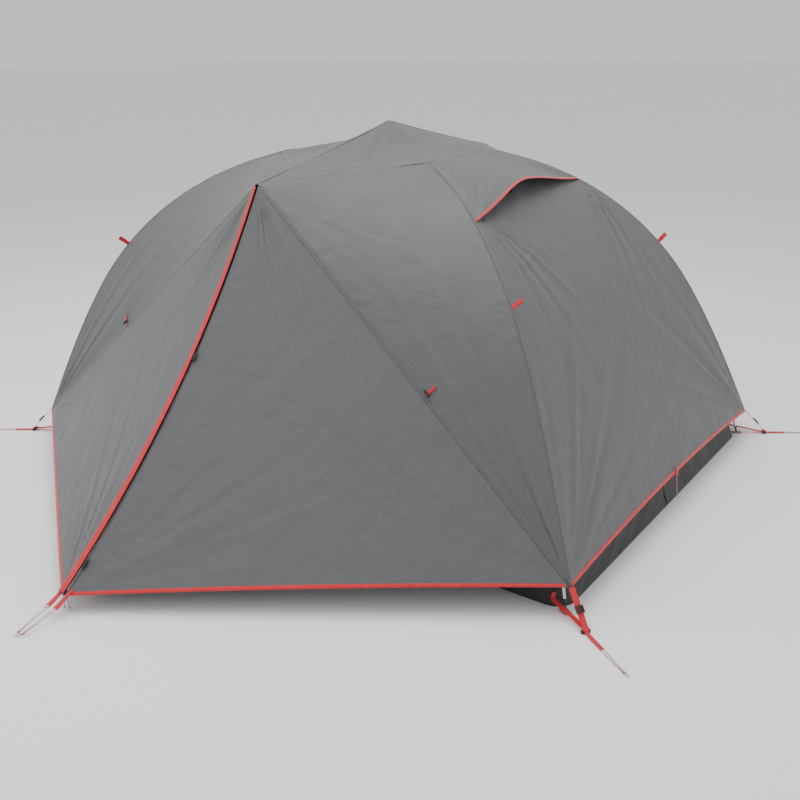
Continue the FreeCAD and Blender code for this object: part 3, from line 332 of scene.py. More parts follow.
def braid(name, colour, fleck, size=0.0016):
    """Braided cord: slanting strands with flecks of a second colour."""
    material, tree, shader = new_material(name, colour, 0.6, sheen=0.3, specular=0.3)
    place = coordinates(tree, "Object")
    first = bands(tree, place, "DIAGONAL", size)
    flecks = noise(tree, place, 520.0, 1.0)
    tinted(tree, shader, remap(tree, flecks, 0.5, 0.62, 0, 1), colour, fleck)
    bumped(tree, shader, [(first, 0.0003, 0.8)])
    return material


anodised = metal("anodised_tube", (0.60, 0.61, 0.63), 0.30)
brass = metal("brass_rolled", (0.72, 0.56, 0.28), 0.32)
slider_metal = metal("slider_black_nickel", (0.10, 0.10, 0.105), 0.38)
pole_plastic = moulded("pole_plastic_black", (0.030, 0.030, 0.032))
black_plastic = moulded("plastic_black", (0.016, 0.016, 0.018), 0.40)
coil = moulded("zip_coil_black", (0.022, 0.022, 0.024), 0.55)
ring_grey = moulded("ring_grey", (0.30, 0.30, 0.31), 0.45)
hook_tape = coated_cloth("hook_tape_black", (0.012, 0.012, 0.013), 0.8, 0.0016)
dark_braid = braid("cord_dark_red", (0.22, 0.025, 0.035), (0.55, 0.50, 0.50))
peg_braid = braid("cord_red_grey", (0.36, 0.014, 0.022), (0.50, 0.46, 0.46))
stretch_braid = braid("cord_black", (0.02, 0.02, 0.02), (0.3, 0.3, 0.3))
inner_netting = netting("inner_netting_pale", (0.42, 0.43, 0.44), solid_below=0.42)
vent_netting = netting("vent_netting_black", (0.03, 0.03, 0.032), 0.0016)

floor_material, floor_tree, floor_shader = new_material("floor_pale", (0.94, 0.94, 0.94), 0.85,
                                                        specular=0.1)
floor_soft = noise(floor_tree, coordinates(floor_tree, "Object"), 1.2)
tinted(floor_tree, floor_shader, floor_soft, (0.935, 0.935, 0.935), (0.945, 0.945, 0.945))
floor_mesh.materials.append(floor_material)
print(len(bpy.data.materials), "materials")

# %% Finishes of the pieces that keep their exact shapes
FINISHES = ((anodised, ("main_pole_a", "main_pole_b", "brow_pole")),
            (pole_plastic, ("pole_tips", "crossing_hub", "pole_clips")),
            (brass, ("corner_grommets",)), (stretch_braid, ("shock_cords",)),
            (coil, ("fly_zip_near", "fly_zip_far", "inner_zips")),
            (slider_metal, ("fly_slider_near", "fly_slider_far", "inner_slider_near",
                            "inner_slider_far")),
            (black_plastic, ("ladder_locks", "anchor_bars", "vent_prop_right", "vent_prop_left",
                             "tie_back_toggles")))
for finish, nodes in FINISHES:
    for node in nodes:
        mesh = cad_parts[node].data
        mesh.materials.clear()
        mesh.materials.append(finish)
print(sum(len(nodes) for _, nodes in FINISHES), "nodes keep their shape")

# %% [markdown]
# ## The main pole's line
# A shock-corded pole bent into a tent is flattest at the crown and tightest at the shoulder. Three
# tangent arcs in one upright plane copy that: crown, shoulder and leg. The slope grows evenly with
# the run along each arc, so the place after any run is a sum of sines and cosines, and a whole
# array of runs is worked out at once.

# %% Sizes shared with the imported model, in metres
FLOOR_LENGTH = 2.180
FLOOR_WIDTH = 1.450
CROSSING_HEIGHT = 1.078
APEX = np.array([0, 0, CROSSING_HEIGHT + 0.077])
DOOR_TOP = np.array([0, -0.655, 1.020])
PORCH_FOOT = np.array([0, -FLOOR_WIDTH / 2 - 0.755, 0.050])
FOOT_HEIGHT = 0.020
ARC_ENDS = np.radians([0, 16, 58, 74])       # slopes where crown, shoulder and leg meet
LEG_RADIUS = 2.150
FOOT_INSET = 0.004
FLY_OFFSET = 0.014                            # fly's seam outside a pole's centre
INNER_OFFSET = 0.025                          # inner tent's seam inside it
HEM_HEIGHT = 0.087
HEM_FLARE = 0.032
VENT_TOP = 0.370                              # cross seam, out along the diagonal
HOOD_FOOT = 0.660
PANEL_TOP = 0.590
TUB_HEIGHT = 0.150
SAME = np.ones(3)
TURN = np.array([-1, -1, 1])                  # half a turn about the upright axis
HALVES = (("near", SAME), ("far", TURN))
ENDS = (("right", SAME), ("left", TURN))
CORNERS = ((1, 1), (1, -1), (-1, 1), (-1, -1))

half_diagonal = math.hypot(FLOOR_LENGTH, FLOOR_WIDTH) / 2
DIAGONAL = np.array([FLOOR_LENGTH, FLOOR_WIDTH]) / 2 / half_diagonal
sines = np.sin(ARC_ENDS)
cosines = np.cos(ARC_ENDS)
to_reach = half_diagonal - FOOT_INSET - LEG_RADIUS * (sines[3] - sines[2])
to_fall = CROSSING_HEIGHT - FOOT_HEIGHT - LEG_RADIUS * (cosines[2] - cosines[3])
crown_radius, shoulder_radius = np.linalg.solve(
    [[sines[1], sines[2] - sines[1]], [1 - cosines[1], cosines[1] - cosines[2]]],
    [to_reach, to_fall])
RADII = np.array([crown_radius, shoulder_radius, LEG_RADIUS])
RUNS = np.concatenate([[0], np.cumsum(RADII * np.diff(ARC_ENDS))])
print("arc radii", RADII.round(3), "half length", RUNS[-1].round(3))


# %% Places along a pole
def pole_at(run):
    """Reach out, height and slope after a run: each arc adds its radius times the change in
    the slope's sine to the reach, and takes the change in its cosine from the height."""
    slope = np.interp(run, RUNS, ARC_ENDS)
    reach = np.zeros_like(slope)
    height = np.full_like(slope, CROSSING_HEIGHT)
    for radius, start, end in zip(RADII, ARC_ENDS[:-1], ARC_ENDS[1:]):
        here = np.clip(slope, start, end)
        reach += radius * (np.sin(here) - math.sin(start))
        height -= radius * (math.cos(start) - np.cos(here))
    return reach, height, slope


table_runs = np.linspace(0, RUNS[-1], 4000)
table_reach, table_height, table_slope = pole_at(table_runs)


def run_at_reach(reach, offset):
    """Run at which a seam at this offset is a given distance out."""
    return np.interp(reach, table_reach + offset * np.sin(table_slope), table_runs)


def run_at_height(height, offset):
    """Run at which a seam at this offset is a given height up."""
    return np.interp(-height, -(table_height + offset * np.cos(table_slope)), table_runs)


HEM_RUN = run_at_height(HEM_HEIGHT, FLY_OFFSET)
VENT_TOP_RUN = run_at_reach(VENT_TOP, FLY_OFFSET)
HOOD_U = (run_at_reach(HOOD_FOOT, FLY_OFFSET) - VENT_TOP_RUN) / (HEM_RUN - VENT_TOP_RUN)
PANEL_TOP_U = (run_at_reach(PANEL_TOP, FLY_OFFSET) - VENT_TOP_RUN) / (HEM_RUN - VENT_TOP_RUN)
INNER_TOP_RUN = run_at_reach(VENT_TOP, -INNER_OFFSET)
INNER_FOOT_RUN = run_at_height(TUB_HEIGHT + 0.004, -INNER_OFFSET)


def seam(run, sx, sy, offset, flare=0.0):
    """Seam over a pole: the pole's own place, moved square to it by the offset, and pulled out
    near the hem by the eighth power of the run."""
    reach, height, slope = pole_at(run)
    out = reach + offset * np.sin(slope) + flare * (run / HEM_RUN) ** 8
    return np.stack([sx * DIAGONAL[0] * out, sy * DIAGONAL[1] * out,
                     height + offset * np.cos(slope)], -1)


def fly_seam(u, sx, sy=-1):
    """Fly's seam over a pole, from the cross seam (0) to the hem (1)."""
    return seam(VENT_TOP_RUN + (HEM_RUN - VENT_TOP_RUN) * u, sx, sy, FLY_OFFSET, HEM_FLARE)


CORNER = {sx: fly_seam(np.array(1.0), sx) for sx in (-1, 1)}
print("hem corner", CORNER[1].round(4))


# %% Small array helpers
def unit(vectors):
    """Vectors divided by their own lengths."""
    return vectors / np.maximum(np.linalg.norm(vectors, axis=-1, keepdims=True), 1e-12)


def mix(a, b, t):
    """Straight line from a to b, t being an array of shares."""
    return a + (b - a) * np.asarray(t)[..., None]


def smooth_step(t):
    """Eased step from 0 to 1: three t squared less two t cubed."""
    t = np.clip(t, 0, 1)
    return t * t * (3 - 2 * t)


def grid(first, second):
    """Two parameters over a grid, rows by columns."""
    return np.meshgrid(first, second, indexing="ij")


def dot(a, b):
    """Sum of the products of two vectors' parts."""
    return (a * b).sum(-1)


INSIDE = np.array([0, 0, 0.25])


def outward_normals(points, inside=INSIDE):
    """Unit normals of a grid, from the cross product of its two directions, facing away from
    the tent's middle."""
    normal = unit(np.cross(np.gradient(points, axis=0), np.gradient(points, axis=1)))
    return normal * np.sign(dot(normal, points - inside))[..., None]


def lengths(points, axis):
    """Distance travelled along a grid's rows or columns, in metres: its UV."""
    step = np.linalg.norm(np.diff(points, axis=axis), axis=-1)
    pad = [(0, 0), (0, 0)]
    pad[axis] = (1, 0)
    return np.cumsum(np.pad(step, pad), axis=axis)


print("array helpers ready; the outside is away from", INSIDE)

# %% [markdown]
# ## From grids to pieces
# Every piece is one or more grids of points. A sheet is an open grid that gets its thickness from
# a Solidify modifier. A strap, tape or tube is a profile carried along a path, which is a grid
# whose last column joins its first and whose two ends are capped.

# %% Make one mesh from several grids
def make_piece(name, patches, material, body, nodes=(), thickness=0.0, weld=0.0,
               inside=INSIDE):
    """patches is a list of grids, of (grid, 'tube') for an open profile carried along a path, which
    is joined round and capped, or of (grid, 'closed') for a ring that meets itself."""
    corners, loops, uvs, caps = [], [], [], []
    count = 0
    solid_all_round = False
    for patch in patches:
        points, kind = patch if isinstance(patch, tuple) else (patch, None)
        solid_all_round = solid_all_round or kind is not None
        rows, columns = points.shape[:2]
        index = np.arange(rows * columns).reshape(rows, columns) + count
        along = lengths(points, 0)
        if kind == "tube":
            index = np.concatenate([index, index[:, :1]], axis=1)
            wrapped = np.concatenate([points, points[:, :1]], axis=1)
            along = np.concatenate([along, along[:, :1]], axis=1)
            around = lengths(wrapped, 1)
            caps += [index[0, :-1][::-1], index[-1, :-1]]
        else:
            around = lengths(points, 1)
        quads = np.stack([index[:-1, :-1], index[1:, :-1], index[1:, 1:], index[:-1, 1:]], -1)
        shares = np.stack([along, around], -1)
        quad_uv = np.stack([shares[:-1, :-1], shares[1:, :-1], shares[1:, 1:], shares[:-1, 1:]], 2)
        if kind is None:
            i, j = rows // 2, columns // 2
            middle = points[i, j]
            plain = np.cross(points[min(i + 1, rows - 1), j] - points[i - 1, j],
                             points[i, min(j + 1, columns - 1)] - points[i, j - 1])
            if np.dot(plain, middle - inside) < 0:
                quads = quads[..., ::-1]
                quad_uv = quad_uv[..., ::-1, :]
        corners.append(points.reshape(-1, 3))
        loops.append(quads.reshape(-1, 4))
        uvs.append(quad_uv.reshape(-1, 2))
        count += rows * columns
    vertices = np.concatenate(corners)
    faces = np.concatenate(loops)
    mesh = bpy.data.meshes.new(name)
    mesh.from_pydata(vertices, [], [*faces.tolist(), *(c.tolist() for c in caps)])
    layer = mesh.uv_layers.new(name="cloth")
    values = np.zeros((len(mesh.loops), 2), np.float32)
    flat = np.concatenate(uvs)
    values[:len(flat)] = flat
    layer.data.foreach_set("uv", values.ravel())
    mesh.materials.append(material)
    work = bmesh.new()
    work.from_mesh(mesh)
    if weld:
        bmesh.ops.remove_doubles(work, verts=work.verts, dist=weld)
    if solid_all_round:
        bmesh.ops.recalc_face_normals(work, faces=work.faces)
    for face in work.faces:
        face.smooth = True
    work.to_mesh(mesh)
    work.free()
    piece = bpy.data.objects.new(name, mesh)
    bpy.context.collection.objects.link(piece)
    if thickness:
        solid = piece.modifiers.new("thickness", "SOLIDIFY")
        solid.thickness = thickness
        solid.offset = -1
    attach(piece, body)
    if nodes:
        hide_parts(*nodes)
    return piece


print("grids can be made into pieces")


# %% Profiles and sweeps
def flat_profile(width, thick, corner=0.35):
    """Strip's section: a rectangle whose four corners are rounded by a share of its thickness."""
    r = thick * corner
    turns = np.radians(np.array([[0, 45, 90], [90, 135, 180], [180, 225, 270], [270, 315, 360]]))
    centres = np.array([[1, 1], [-1, 1], [-1, -1], [1, -1]]) * [width / 2 - r, thick / 2 - r]
    return np.concatenate([centre + r * np.stack([np.cos(turn), np.sin(turn)], -1)
                           for centre, turn in zip(centres, turns)])


def round_profile(radius, count=10):
    """Points round a circle."""
    turn = np.arange(count) / count * 2 * math.pi
    return radius * np.stack([np.cos(turn), np.sin(turn)], -1)


def sweep(path, across, lift, profile):
    """Profile carried along a path: each place is the path's, plus the profile's first number
    across it and its second along the lift direction."""
    return (path[:, None] + profile[None, :, :1] * across[:, None]
            + profile[None, :, 1:] * lift[:, None]), "tube"


def framed(path, across):
    """Unit across and lift directions, square to a path, from a wished across direction."""
    ahead = unit(np.gradient(path, axis=0))
    across = unit(across - ahead * dot(across, ahead)[:, None])
    return across, np.cross(ahead, across)


def ribbon(path, across, width, thick):
    """Flat strap along a path."""
    side, lift = framed(path, np.broadcast_to(across, path.shape))
    return sweep(path, side, lift, flat_profile(width, thick))


def smooth_path(points, count=24):
    """Rounded path through a few given points: Catmull-Rom, each stretch a cubic that leaves
    along the line between its neighbours."""
    points = np.asarray(points, float)
    knots = np.concatenate([[2 * points[0] - points[1]], points, [2 * points[-1] - points[-2]]])
    share = np.linspace(0, len(points) - 1, count)
    k = np.minimum(share.astype(int), len(points) - 2)
    t = (share - k)[:, None]
    a, b, c, d = (knots[k + i] for i in range(4))
    return 0.5 * (2 * b + (c - a) * t + (2 * a - 5 * b + 4 * c - d) * t ** 2
                  + (3 * b - a - 3 * c + d) * t ** 3)


print("a strap's section has", len(flat_profile(STRAP_WIDTH, 0.0012)), "points")


# %% [markdown]
# ## Creases and puckers
# Taut cloth is never smooth. Short folds fan out from every point that carries load, stitching
# gathers a seam into small puckers, and the middle of a panel ripples gently. Each is a rise and
# fall along the cloth's normal, given by a formula, and all of them die out at a panel's edges, so
# that neighbouring panels still share their seams. A cloth simulation would give folds too, but
# not where this tent's load points put them.

# %% Folds by formula
def fan(points, normal, origin, toward, spread, folds, reach, depth):
    """Folds that fan out from a point: a cosine of the angle, dying away to each side, that is
    nothing at the point itself, deepest at the reach, and fades beyond it."""
    ray = points - np.asarray(origin)
    axis = unit(np.asarray(toward, float) - np.asarray(origin))
    side = np.cross(normal, axis)
    angle = np.arctan2(dot(ray, side), dot(ray, axis))
    uneven = angle + 0.09 * spread * np.sin(2.3 * folds * angle / spread + 1.7)
    wave = np.cos(math.pi * folds * uneven / spread) * np.exp(-(angle / spread) ** 2)
    distance = np.linalg.norm(ray, axis=-1) / reach
    return depth * wave * distance * np.exp(1 - distance)


def puckers(along, away, pitch, width, depth, shift=0.0):
    """Gathers beside a seam: two sines of different pitch along it, dying away from it."""
    ripple = np.sin(2 * math.pi * along / pitch + shift) + 0.6 * np.sin(
        2 * math.pi * along / (pitch * 1.73) + 2.1 * shift + 1)
    ripple = ripple * (0.55 + 0.45 * np.sin(2 * math.pi * along / (pitch * 7.3) + shift))
    return depth * ripple * np.exp(-(away / width) ** 2)


def ripples(along, across, seed):
    """Slow unevenness of a panel: sines of unrelated length and direction, added up."""
    draw = np.random.default_rng(seed)
    total = np.zeros_like(along)
    for _ in range(5):
        length = draw.uniform(0.13, 0.42)
        turn = draw.uniform(0, math.pi)
        phase = draw.uniform(0, 2 * math.pi)
        total += np.sin(2 * math.pi * (along * math.cos(turn) + across * math.sin(turn)) / length
                        + phase) * length
    return total * 0.0011


def creased(points, fans=(), seams=(), seed=1, loose=1.0, edge=0.03):
    """A panel's grid with its folds. seams names the edges with puckers: 'top' and 'foot' are
    the first and last row, 'start' and 'end' the first and last column."""
    normal = outward_normals(points)
    along = lengths(points, 0)
    across = lengths(points, 1)
    from_edge = {"top": along, "foot": along[-1:] - along,
                 "start": across, "end": across[:, -1:] - across}
    rise = loose * ripples(along, across, seed)
    for origin, toward, spread, folds, reach, depth in fans:
        rise += fan(points, normal, origin, toward, spread, folds, reach, depth)
    for name, pitch, depth in seams:
        rise += puckers(across if name in ("top", "foot") else along, from_edge[name],
                        pitch, 1.6 * pitch, depth, seed)
    window = np.ones_like(rise)
    for distance in from_edge.values():
        window = window * smooth_step(distance / edge)
    return points + normal * (rise * window)[..., None]


print("folds, puckers and ripples ready")


# %% [markdown]
# ## The fly
# The fly is the outer cloth: a roof in four quarters, two ends, and a triangle beside each door.
# Its panels are sewn over the poles. Each is a ruled surface between two seams, hollowed a little
# where the cloth is pulled both ways. They are worked out one by one so that each has its own
# folds, and then welded along their shared seams into one continuous canopy.

# %% Fly surfaces
END_BOW = 0.014
END_HEM_ARCH = 0.036
DOOR_HEM_ARCH = 0.010
ROOF_DIP = 0.016
ROOF_REST_WIDTH = 0.070
RIDGE_SLACK = 0.004


def end_surface(u, v):
    """Right end: straight across from pole seam to pole seam, bowed in between them, with an
    arched hem."""
    bow = 4 * v * (1 - v)
    shift = np.stack([-END_BOW * bow * np.sin(math.pi * u), 0 * u, END_HEM_ARCH * bow * u ** 6], -1)
    return mix(fly_seam(u, 1, -1), fly_seam(u, 1, 1), v) + shift


def door_seam(u, sx):
    """Door's side seam: a straight line from its top to the hem's corner."""
    return mix(DOOR_TOP, CORNER[sx], u)


def side_surface(u, v, sx):
    """Straight across from a door's side seam to a main pole's seam."""
    return mix(door_seam(u, sx), fly_seam(u, sx), v)


def roof_surface(u, v, sx):
    """Near quarter of the roof, from the ridge to the cross seam. Where it would sag below the
    pole, the pole holds it up, and that rise dies away to each side."""
    corner = fly_seam(np.array(0.0), sx)
    middle = np.array([corner[0], 0, corner[2]])
    ridge = mix(APEX, DOOR_TOP, u)
    ridge[..., 2] -= RIDGE_SLACK * 4 * u * (1 - u)
    points = mix(ridge, mix(middle, corner, u), v)
    points[..., 2] -= ROOF_DIP * np.sin(math.pi * v) * (1 - u)
    out = points[..., 0] * sx * DIAGONAL[0] - points[..., 1] * DIAGONAL[1]
    aside = points[..., 0] * -DIAGONAL[1] - points[..., 1] * sx * DIAGONAL[0]
    height = pole_at(run_at_reach(out, 0))[1]
    held = np.maximum(0, height + FLY_OFFSET - points[..., 2])
    points[..., 2] += held * np.exp(-(aside / ROOF_REST_WIDTH) ** 2)
    return points


ZIP_SAG = 0.060
ZIP_HALF_GAP = 0.007
chord = PORCH_FOOT - DOOR_TOP
ZIP_CHORD = float(np.linalg.norm(chord))
ZIP_RADIUS = (ZIP_CHORD ** 2 / 4 + ZIP_SAG ** 2) / (2 * ZIP_SAG)
zip_down = chord / ZIP_CHORD
zip_outward = np.array([0, zip_down[2], -zip_down[1]])
ZIP_CENTRE = (DOOR_TOP + PORCH_FOOT) / 2 + zip_outward * (ZIP_RADIUS - ZIP_SAG)
ZIP_SPAN = 2 * math.asin(ZIP_CHORD / 2 / ZIP_RADIUS)
ZIP_LENGTH = ZIP_RADIUS * ZIP_SPAN


def on_zip(u, aside=0.0, above=0.0):
    """Zip line: an arc in the middle plane that dips inwards, from the door's top to its foot."""
    angle = (ZIP_SPAN * (np.asarray(u, float) - 0.5))[..., None]
    toward = -zip_outward * np.cos(angle) + zip_down * np.sin(angle)
    shift = np.zeros(toward.shape)
    shift[..., 0] = aside
    return ZIP_CENTRE + toward * (ZIP_RADIUS - np.asarray(above)[..., None]) + shift


def door_surface(u, v, sx):
    """Door half: straight across from the zip to its side seam, with an arched hem."""
    points = mix(on_zip(u, sx * ZIP_HALF_GAP), door_seam(u, sx), v)
    points[..., 2] += DOOR_HEM_ARCH * 4 * v * (1 - v) * u ** 6
    return points


print("zip length", round(ZIP_LENGTH, 3))

# %% [markdown]
# ### Canopy
# The grid lines are about 12 mm apart, close enough for the folds and few enough to stay light.
# Both ends, all four side triangles and all four roof quarters are welded into one mesh. The four
# door halves are left out of it, because they swing.

# %% Canopy panels
FLY_THICK = 0.0009
SPACING = 0.0125
upper_rows = np.linspace(0, PANEL_TOP_U, 1 + round(float(PANEL_TOP_U) * 1.2 / SPACING))
lower_rows = np.linspace(PANEL_TOP_U, 1, 1 + round(float(1 - PANEL_TOP_U) * 1.36 / SPACING))
side_rows = np.concatenate([upper_rows, lower_rows[1:]])
WIDE = 92
DEEP = 36
ROOF_ROWS = 50
ROOF_COLUMNS = 26

hood_end = {sy: fly_seam(np.array(HOOD_U), 1, sy) for sy in (-1, 1)}
end_corner = {sy: fly_seam(np.array(1.0), 1, sy) for sy in (-1, 1)}
end_middle = end_surface(np.array(0.55), np.array(0.5))
end_fans = [(end_corner[-1], end_middle, 0.55, 5, 0.20, 0.0042),
            (end_corner[1], end_middle, 0.55, 5, 0.20, 0.0042),
            (hood_end[-1], end_surface(np.array(0.7), np.array(0.34)), 0.42, 4, 0.13, 0.0040),
            (hood_end[1], end_surface(np.array(0.7), np.array(0.66)), 0.42, 4, 0.13, 0.0040),
            (fly_seam(np.array(0.42), 1, -1), end_surface(np.array(0.2), np.array(0.8)),
             0.5, 6, 0.22, 0.0018)]
end_seams = [("start", 0.034, 0.0011), ("end", 0.034, 0.0011), ("foot", 0.045, 0.0013)]

patches = []
for turn, seed in ((SAME, 11), (TURN, 12)):
    points = end_surface(*grid(lower_rows, np.linspace(0, 1, WIDE + 1)))
    patches.append(creased(points, end_fans, end_seams, seed) * turn)
for turn, first_seed in ((SAME, 21), (TURN, 31)):
    for sx in (-1, 1):
        points = side_surface(*grid(side_rows, np.linspace(0, 1, DEEP + 1)), sx)
        middle = side_surface(np.array(0.45), np.array(0.5), sx)
        fans = [(CORNER[sx], middle, 0.22, 4, 0.24, 0.0034),
                (DOOR_TOP, middle, 0.5, 5, 0.14, 0.0022),
                (fly_seam(np.array(0.0), sx), middle, 0.7, 5, 0.10, 0.0026)]
        seams = [("start", 0.040, 0.0011), ("end", 0.034, 0.0010)]
        patches.append(creased(points, fans, seams, first_seed + sx) * turn)
for turn, first_seed in ((SAME, 41), (TURN, 51)):
    for sx in (-1, 1):
        points = roof_surface(*grid(np.linspace(0, 1, ROOF_ROWS + 1),
                                    np.linspace(0, 1, ROOF_COLUMNS + 1)), sx)
        fans = [(APEX, [sx * 0.2, -0.3, 1.05], 0.6, 4, 0.16, 0.0026),
                (DOOR_TOP, [sx * 0.15, -0.3, 1.06], 0.35, 4, 0.14, 0.0022)]
        patches.append(creased(points, fans, [("start", 0.034, 0.0008)], first_seed + sx,
                               edge=0.02) * turn)

canopy = make_piece("fly_canopy", patches, fly_cloth, "root",
                    ("fly_roof", "fly_end_right", "fly_end_left", "fly_side_panels"),
                    thickness=FLY_THICK, weld=0.0004)

# %% [markdown]
# ### Doors
# A door half hangs between the zip and its side seam. Its folds fan out from its top, from its
# hem corner, and from the porch's foot, the one point that pulls it outwards.
# Each half is a sheet of its own, because it swings back on its side seam once it is unzipped. Its
# last column stops just short of the seam, so that the two never cut as it swings.

# %% Door halves
DOOR_NAME = {("near", -1): "near_left", ("near", 1): "near_right",
             ("far", -1): "far_right", ("far", 1): "far_left"}
FLAP_HALVES = (("near", SAME, "near_left"), ("far", TURN, "far_right"))
TIE_PLACE = 0.562


for end, turn in HALVES:
    for sx in (-1, 1):
        points = door_surface(*grid(np.linspace(0.004, 1, 104), np.linspace(0, 0.998, 76)), sx)
        middle = door_surface(np.array(0.62), np.array(0.5), sx)
        foot = on_zip(1.0, sx * ZIP_HALF_GAP)
        fans = [(foot, middle, 0.40, 5, 0.17, 0.0032), (CORNER[sx], middle, 0.34, 6, 0.15, 0.0026),
                (DOOR_TOP, middle, 0.26, 6, 0.13, 0.0022)]
        seams = [("start", 0.030, 0.0011), ("end", 0.036, 0.0009), ("foot", 0.050, 0.0012)]
        folded = creased(points, fans, seams, 61 + sx + (end == "far") * 5, edge=0.045)
        name = DOOR_NAME[end, sx]
        make_piece("door_cloth_" + name, [folded * turn], fly_cloth, "door_" + name,
                                 ("fly_door_" + name,), thickness=FLY_THICK)

# %% [markdown]
# ### Bindings and the porch's foot
# Raw cloth would fray, so a folded tape closes over each hem. The tape wraps the cloth, so its
# middle lies inside the cloth and it shows on both faces. At the porch's foot each half ends in a
# webbing loop that takes a pegging cord.


# %% Hem tapes
def edge_tape(surface, length, width, thick, span=(0.0, 1.0), count=90):
    """Tape folded over a surface's last row: a flat section carried along a line half its width
    back from the edge, with the cloth's middle in the tape's."""
    rows = 1 - np.array([width, width / 2, 0]) / length
    points = surface(*grid(rows, np.linspace(*span, count)))
    normal = outward_normals(points)[1]
    down = unit(points[2] - points[0])
    return sweep(points[1] - normal * FLY_THICK / 2, down, normal, flat_profile(width, thick))


BINDING_THICK = 0.0024
END_LENGTH = float(HEM_RUN - VENT_TOP_RUN)
tape, kind = edge_tape(end_surface, END_LENGTH, BINDING_WIDTH, BINDING_THICK)
make_piece("end_hem_tape", [(tape, kind), (tape * TURN, kind)], red_binding, "root",
           ("fly_hem_binding",))

STRAP_LEAN = math.radians(23)
strap_ahead = np.array([0, -math.cos(STRAP_LEAN), -math.sin(STRAP_LEAN)])
strap_face = np.array([0, -math.sin(STRAP_LEAN), math.cos(STRAP_LEAN)])
FOOT_STRAP_LENGTH = 0.036
STRAP_ASIDE = ZIP_HALF_GAP + STRAP_WIDTH / 2
STRAP_DROP = np.array([0, -0.0015, -0.0033])   # strap's start, from the zip line's end


def folded_loop(start, ahead, face, length, gap=0.0009, before=()):
    """Webbing that runs out, turns over at its end and comes back under itself."""
    run = [start + ahead * length * t + face * gap * s for t, s in
           ((0.0, 1), (0.5, 1), (0.9, 1.3), (0.985, 0.7), (1.0, 0), (0.985, -0.7), (0.9, -1.3),
            (0.4, -1))]
    return smooth_path([*before, *run], 60)


for end, turn in HALVES:
    for sx in (-1, 1):
        name = DOOR_NAME[end, sx]
        tape, kind = edge_tape(lambda u, v: door_surface(u, v, sx), ZIP_LENGTH, BINDING_WIDTH,
                               BINDING_THICK, (0.002, 0.992))
        start = on_zip(1.0, sx * STRAP_ASIDE) + STRAP_DROP
        hidden = on_zip(1 - 0.024 / ZIP_LENGTH, sx * STRAP_ASIDE, -0.0030)
        path = folded_loop(start, strap_ahead, strap_face, FOOT_STRAP_LENGTH + 0.001,
                           before=(hidden,))
        strap, strap_kind = ribbon(path, np.array([1.0, 0, 0]), STRAP_WIDTH, 0.0011)
        make_piece("hem_tape_" + name, [(tape * turn, kind)], red_binding, "door_" + name,
                   ("door_trim_" + name,))
        make_piece("foot_strap_" + name, [(strap * turn, strap_kind)], red_webbing, "door_" + name,
                   ("door_trim_" + name,))


def closed_ring(centre, axis, radius, thick, count=48):
    """Round ring: a circle's section carried round a circle about an axis."""
    axis = unit(np.asarray(axis, float))
    first = unit(np.cross(axis, [0.3, 0.2, 0.9]))
    second = np.cross(axis, first)
    around, section = grid(np.linspace(0, 2 * math.pi, count + 1), np.linspace(0, 2 * math.pi, 13))
    ray = np.cos(around)[..., None] * first + np.sin(around)[..., None] * second
    return centre + ray * (radius + thick * np.cos(section))[..., None] + axis * (
        thick * np.sin(section))[..., None], "closed"


for end, turn, name in FLAP_HALVES:
    centre = (on_zip(1.0, -STRAP_ASIDE) + STRAP_DROP
              + strap_ahead * (FOOT_STRAP_LENGTH + 0.002))
    ring, kind = closed_ring(centre, strap_face + np.array([0.15, 0, 0]), 0.0070, 0.0013)
    piece = make_piece("foot_ring_" + end, [(ring * turn, kind)], ring_grey, "door_" + name,
                       weld=0.00001)
print("hem tapes, foot straps and rings made")

# %% [markdown]
# ### Storm flaps
# A narrow flap is sewn to the left half and laps over the zip, so that rain runs past it. It
# starts flat on the cloth, steps up over the zip's chain, and its free edge waves a little.
# Two black hook tabs under it hold it shut.

# %% Storm flaps and hook tabs
FLAP_TOP_WIDTH = 0.013
FLAP_FOOT_WIDTH = 0.026
FLAP_OVER = 0.005          # how far its free edge laps over the zip line
FLAP_SEWN_LIFT = 0.0020    # outside of the flap where it is sewn down
FLAP_STEP = 0.0045         # step up over the zip's chain and slider
HOOK_TAB_PLACES = (0.425, 0.925)
HOOK_TAB_LENGTH = 0.0195
flap_tape = ribbed_tape("flap_red", RED, FLAP_FOOT_WIDTH, 0.0030)
u, v = grid(np.linspace(0.009, 1 - 0.005 / ZIP_LENGTH, 220), np.linspace(0, 1, 13))
flap_width = FLAP_TOP_WIDTH + (FLAP_FOOT_WIDTH - FLAP_TOP_WIDTH) * u
wave = np.sin(u * ZIP_LENGTH / 0.031) * np.sin(u * ZIP_LENGTH / 0.173 + 1)
flap = on_zip(u, FLAP_OVER - flap_width * (1 - v) + 0.0007 * wave * v,
              FLAP_SEWN_LIFT + FLAP_STEP * smooth_step(v / 0.22) + 0.0009 * wave * v ** 2)
for end, turn, name in FLAP_HALVES:
    piece = make_piece("storm_flap_cloth_" + end, [flap * turn], flap_tape, "door_" + name,
                       ("storm_flap_" + end,), thickness=0.0014)
    tabs = []
    for place in HOOK_TAB_PLACES:
        u, v = grid(place + np.linspace(-0.013, 0.013, 7) / ZIP_LENGTH, np.linspace(0, 1, 6))
        tabs.append(on_zip(u, -0.002 + HOOK_TAB_LENGTH * v, 0.0040 + 0.0012 * v ** 2) * turn)
    piece = make_piece("hook_tabs_" + end, tabs, hook_tape, "door_" + name, thickness=0.0012)
print("storm flaps made")
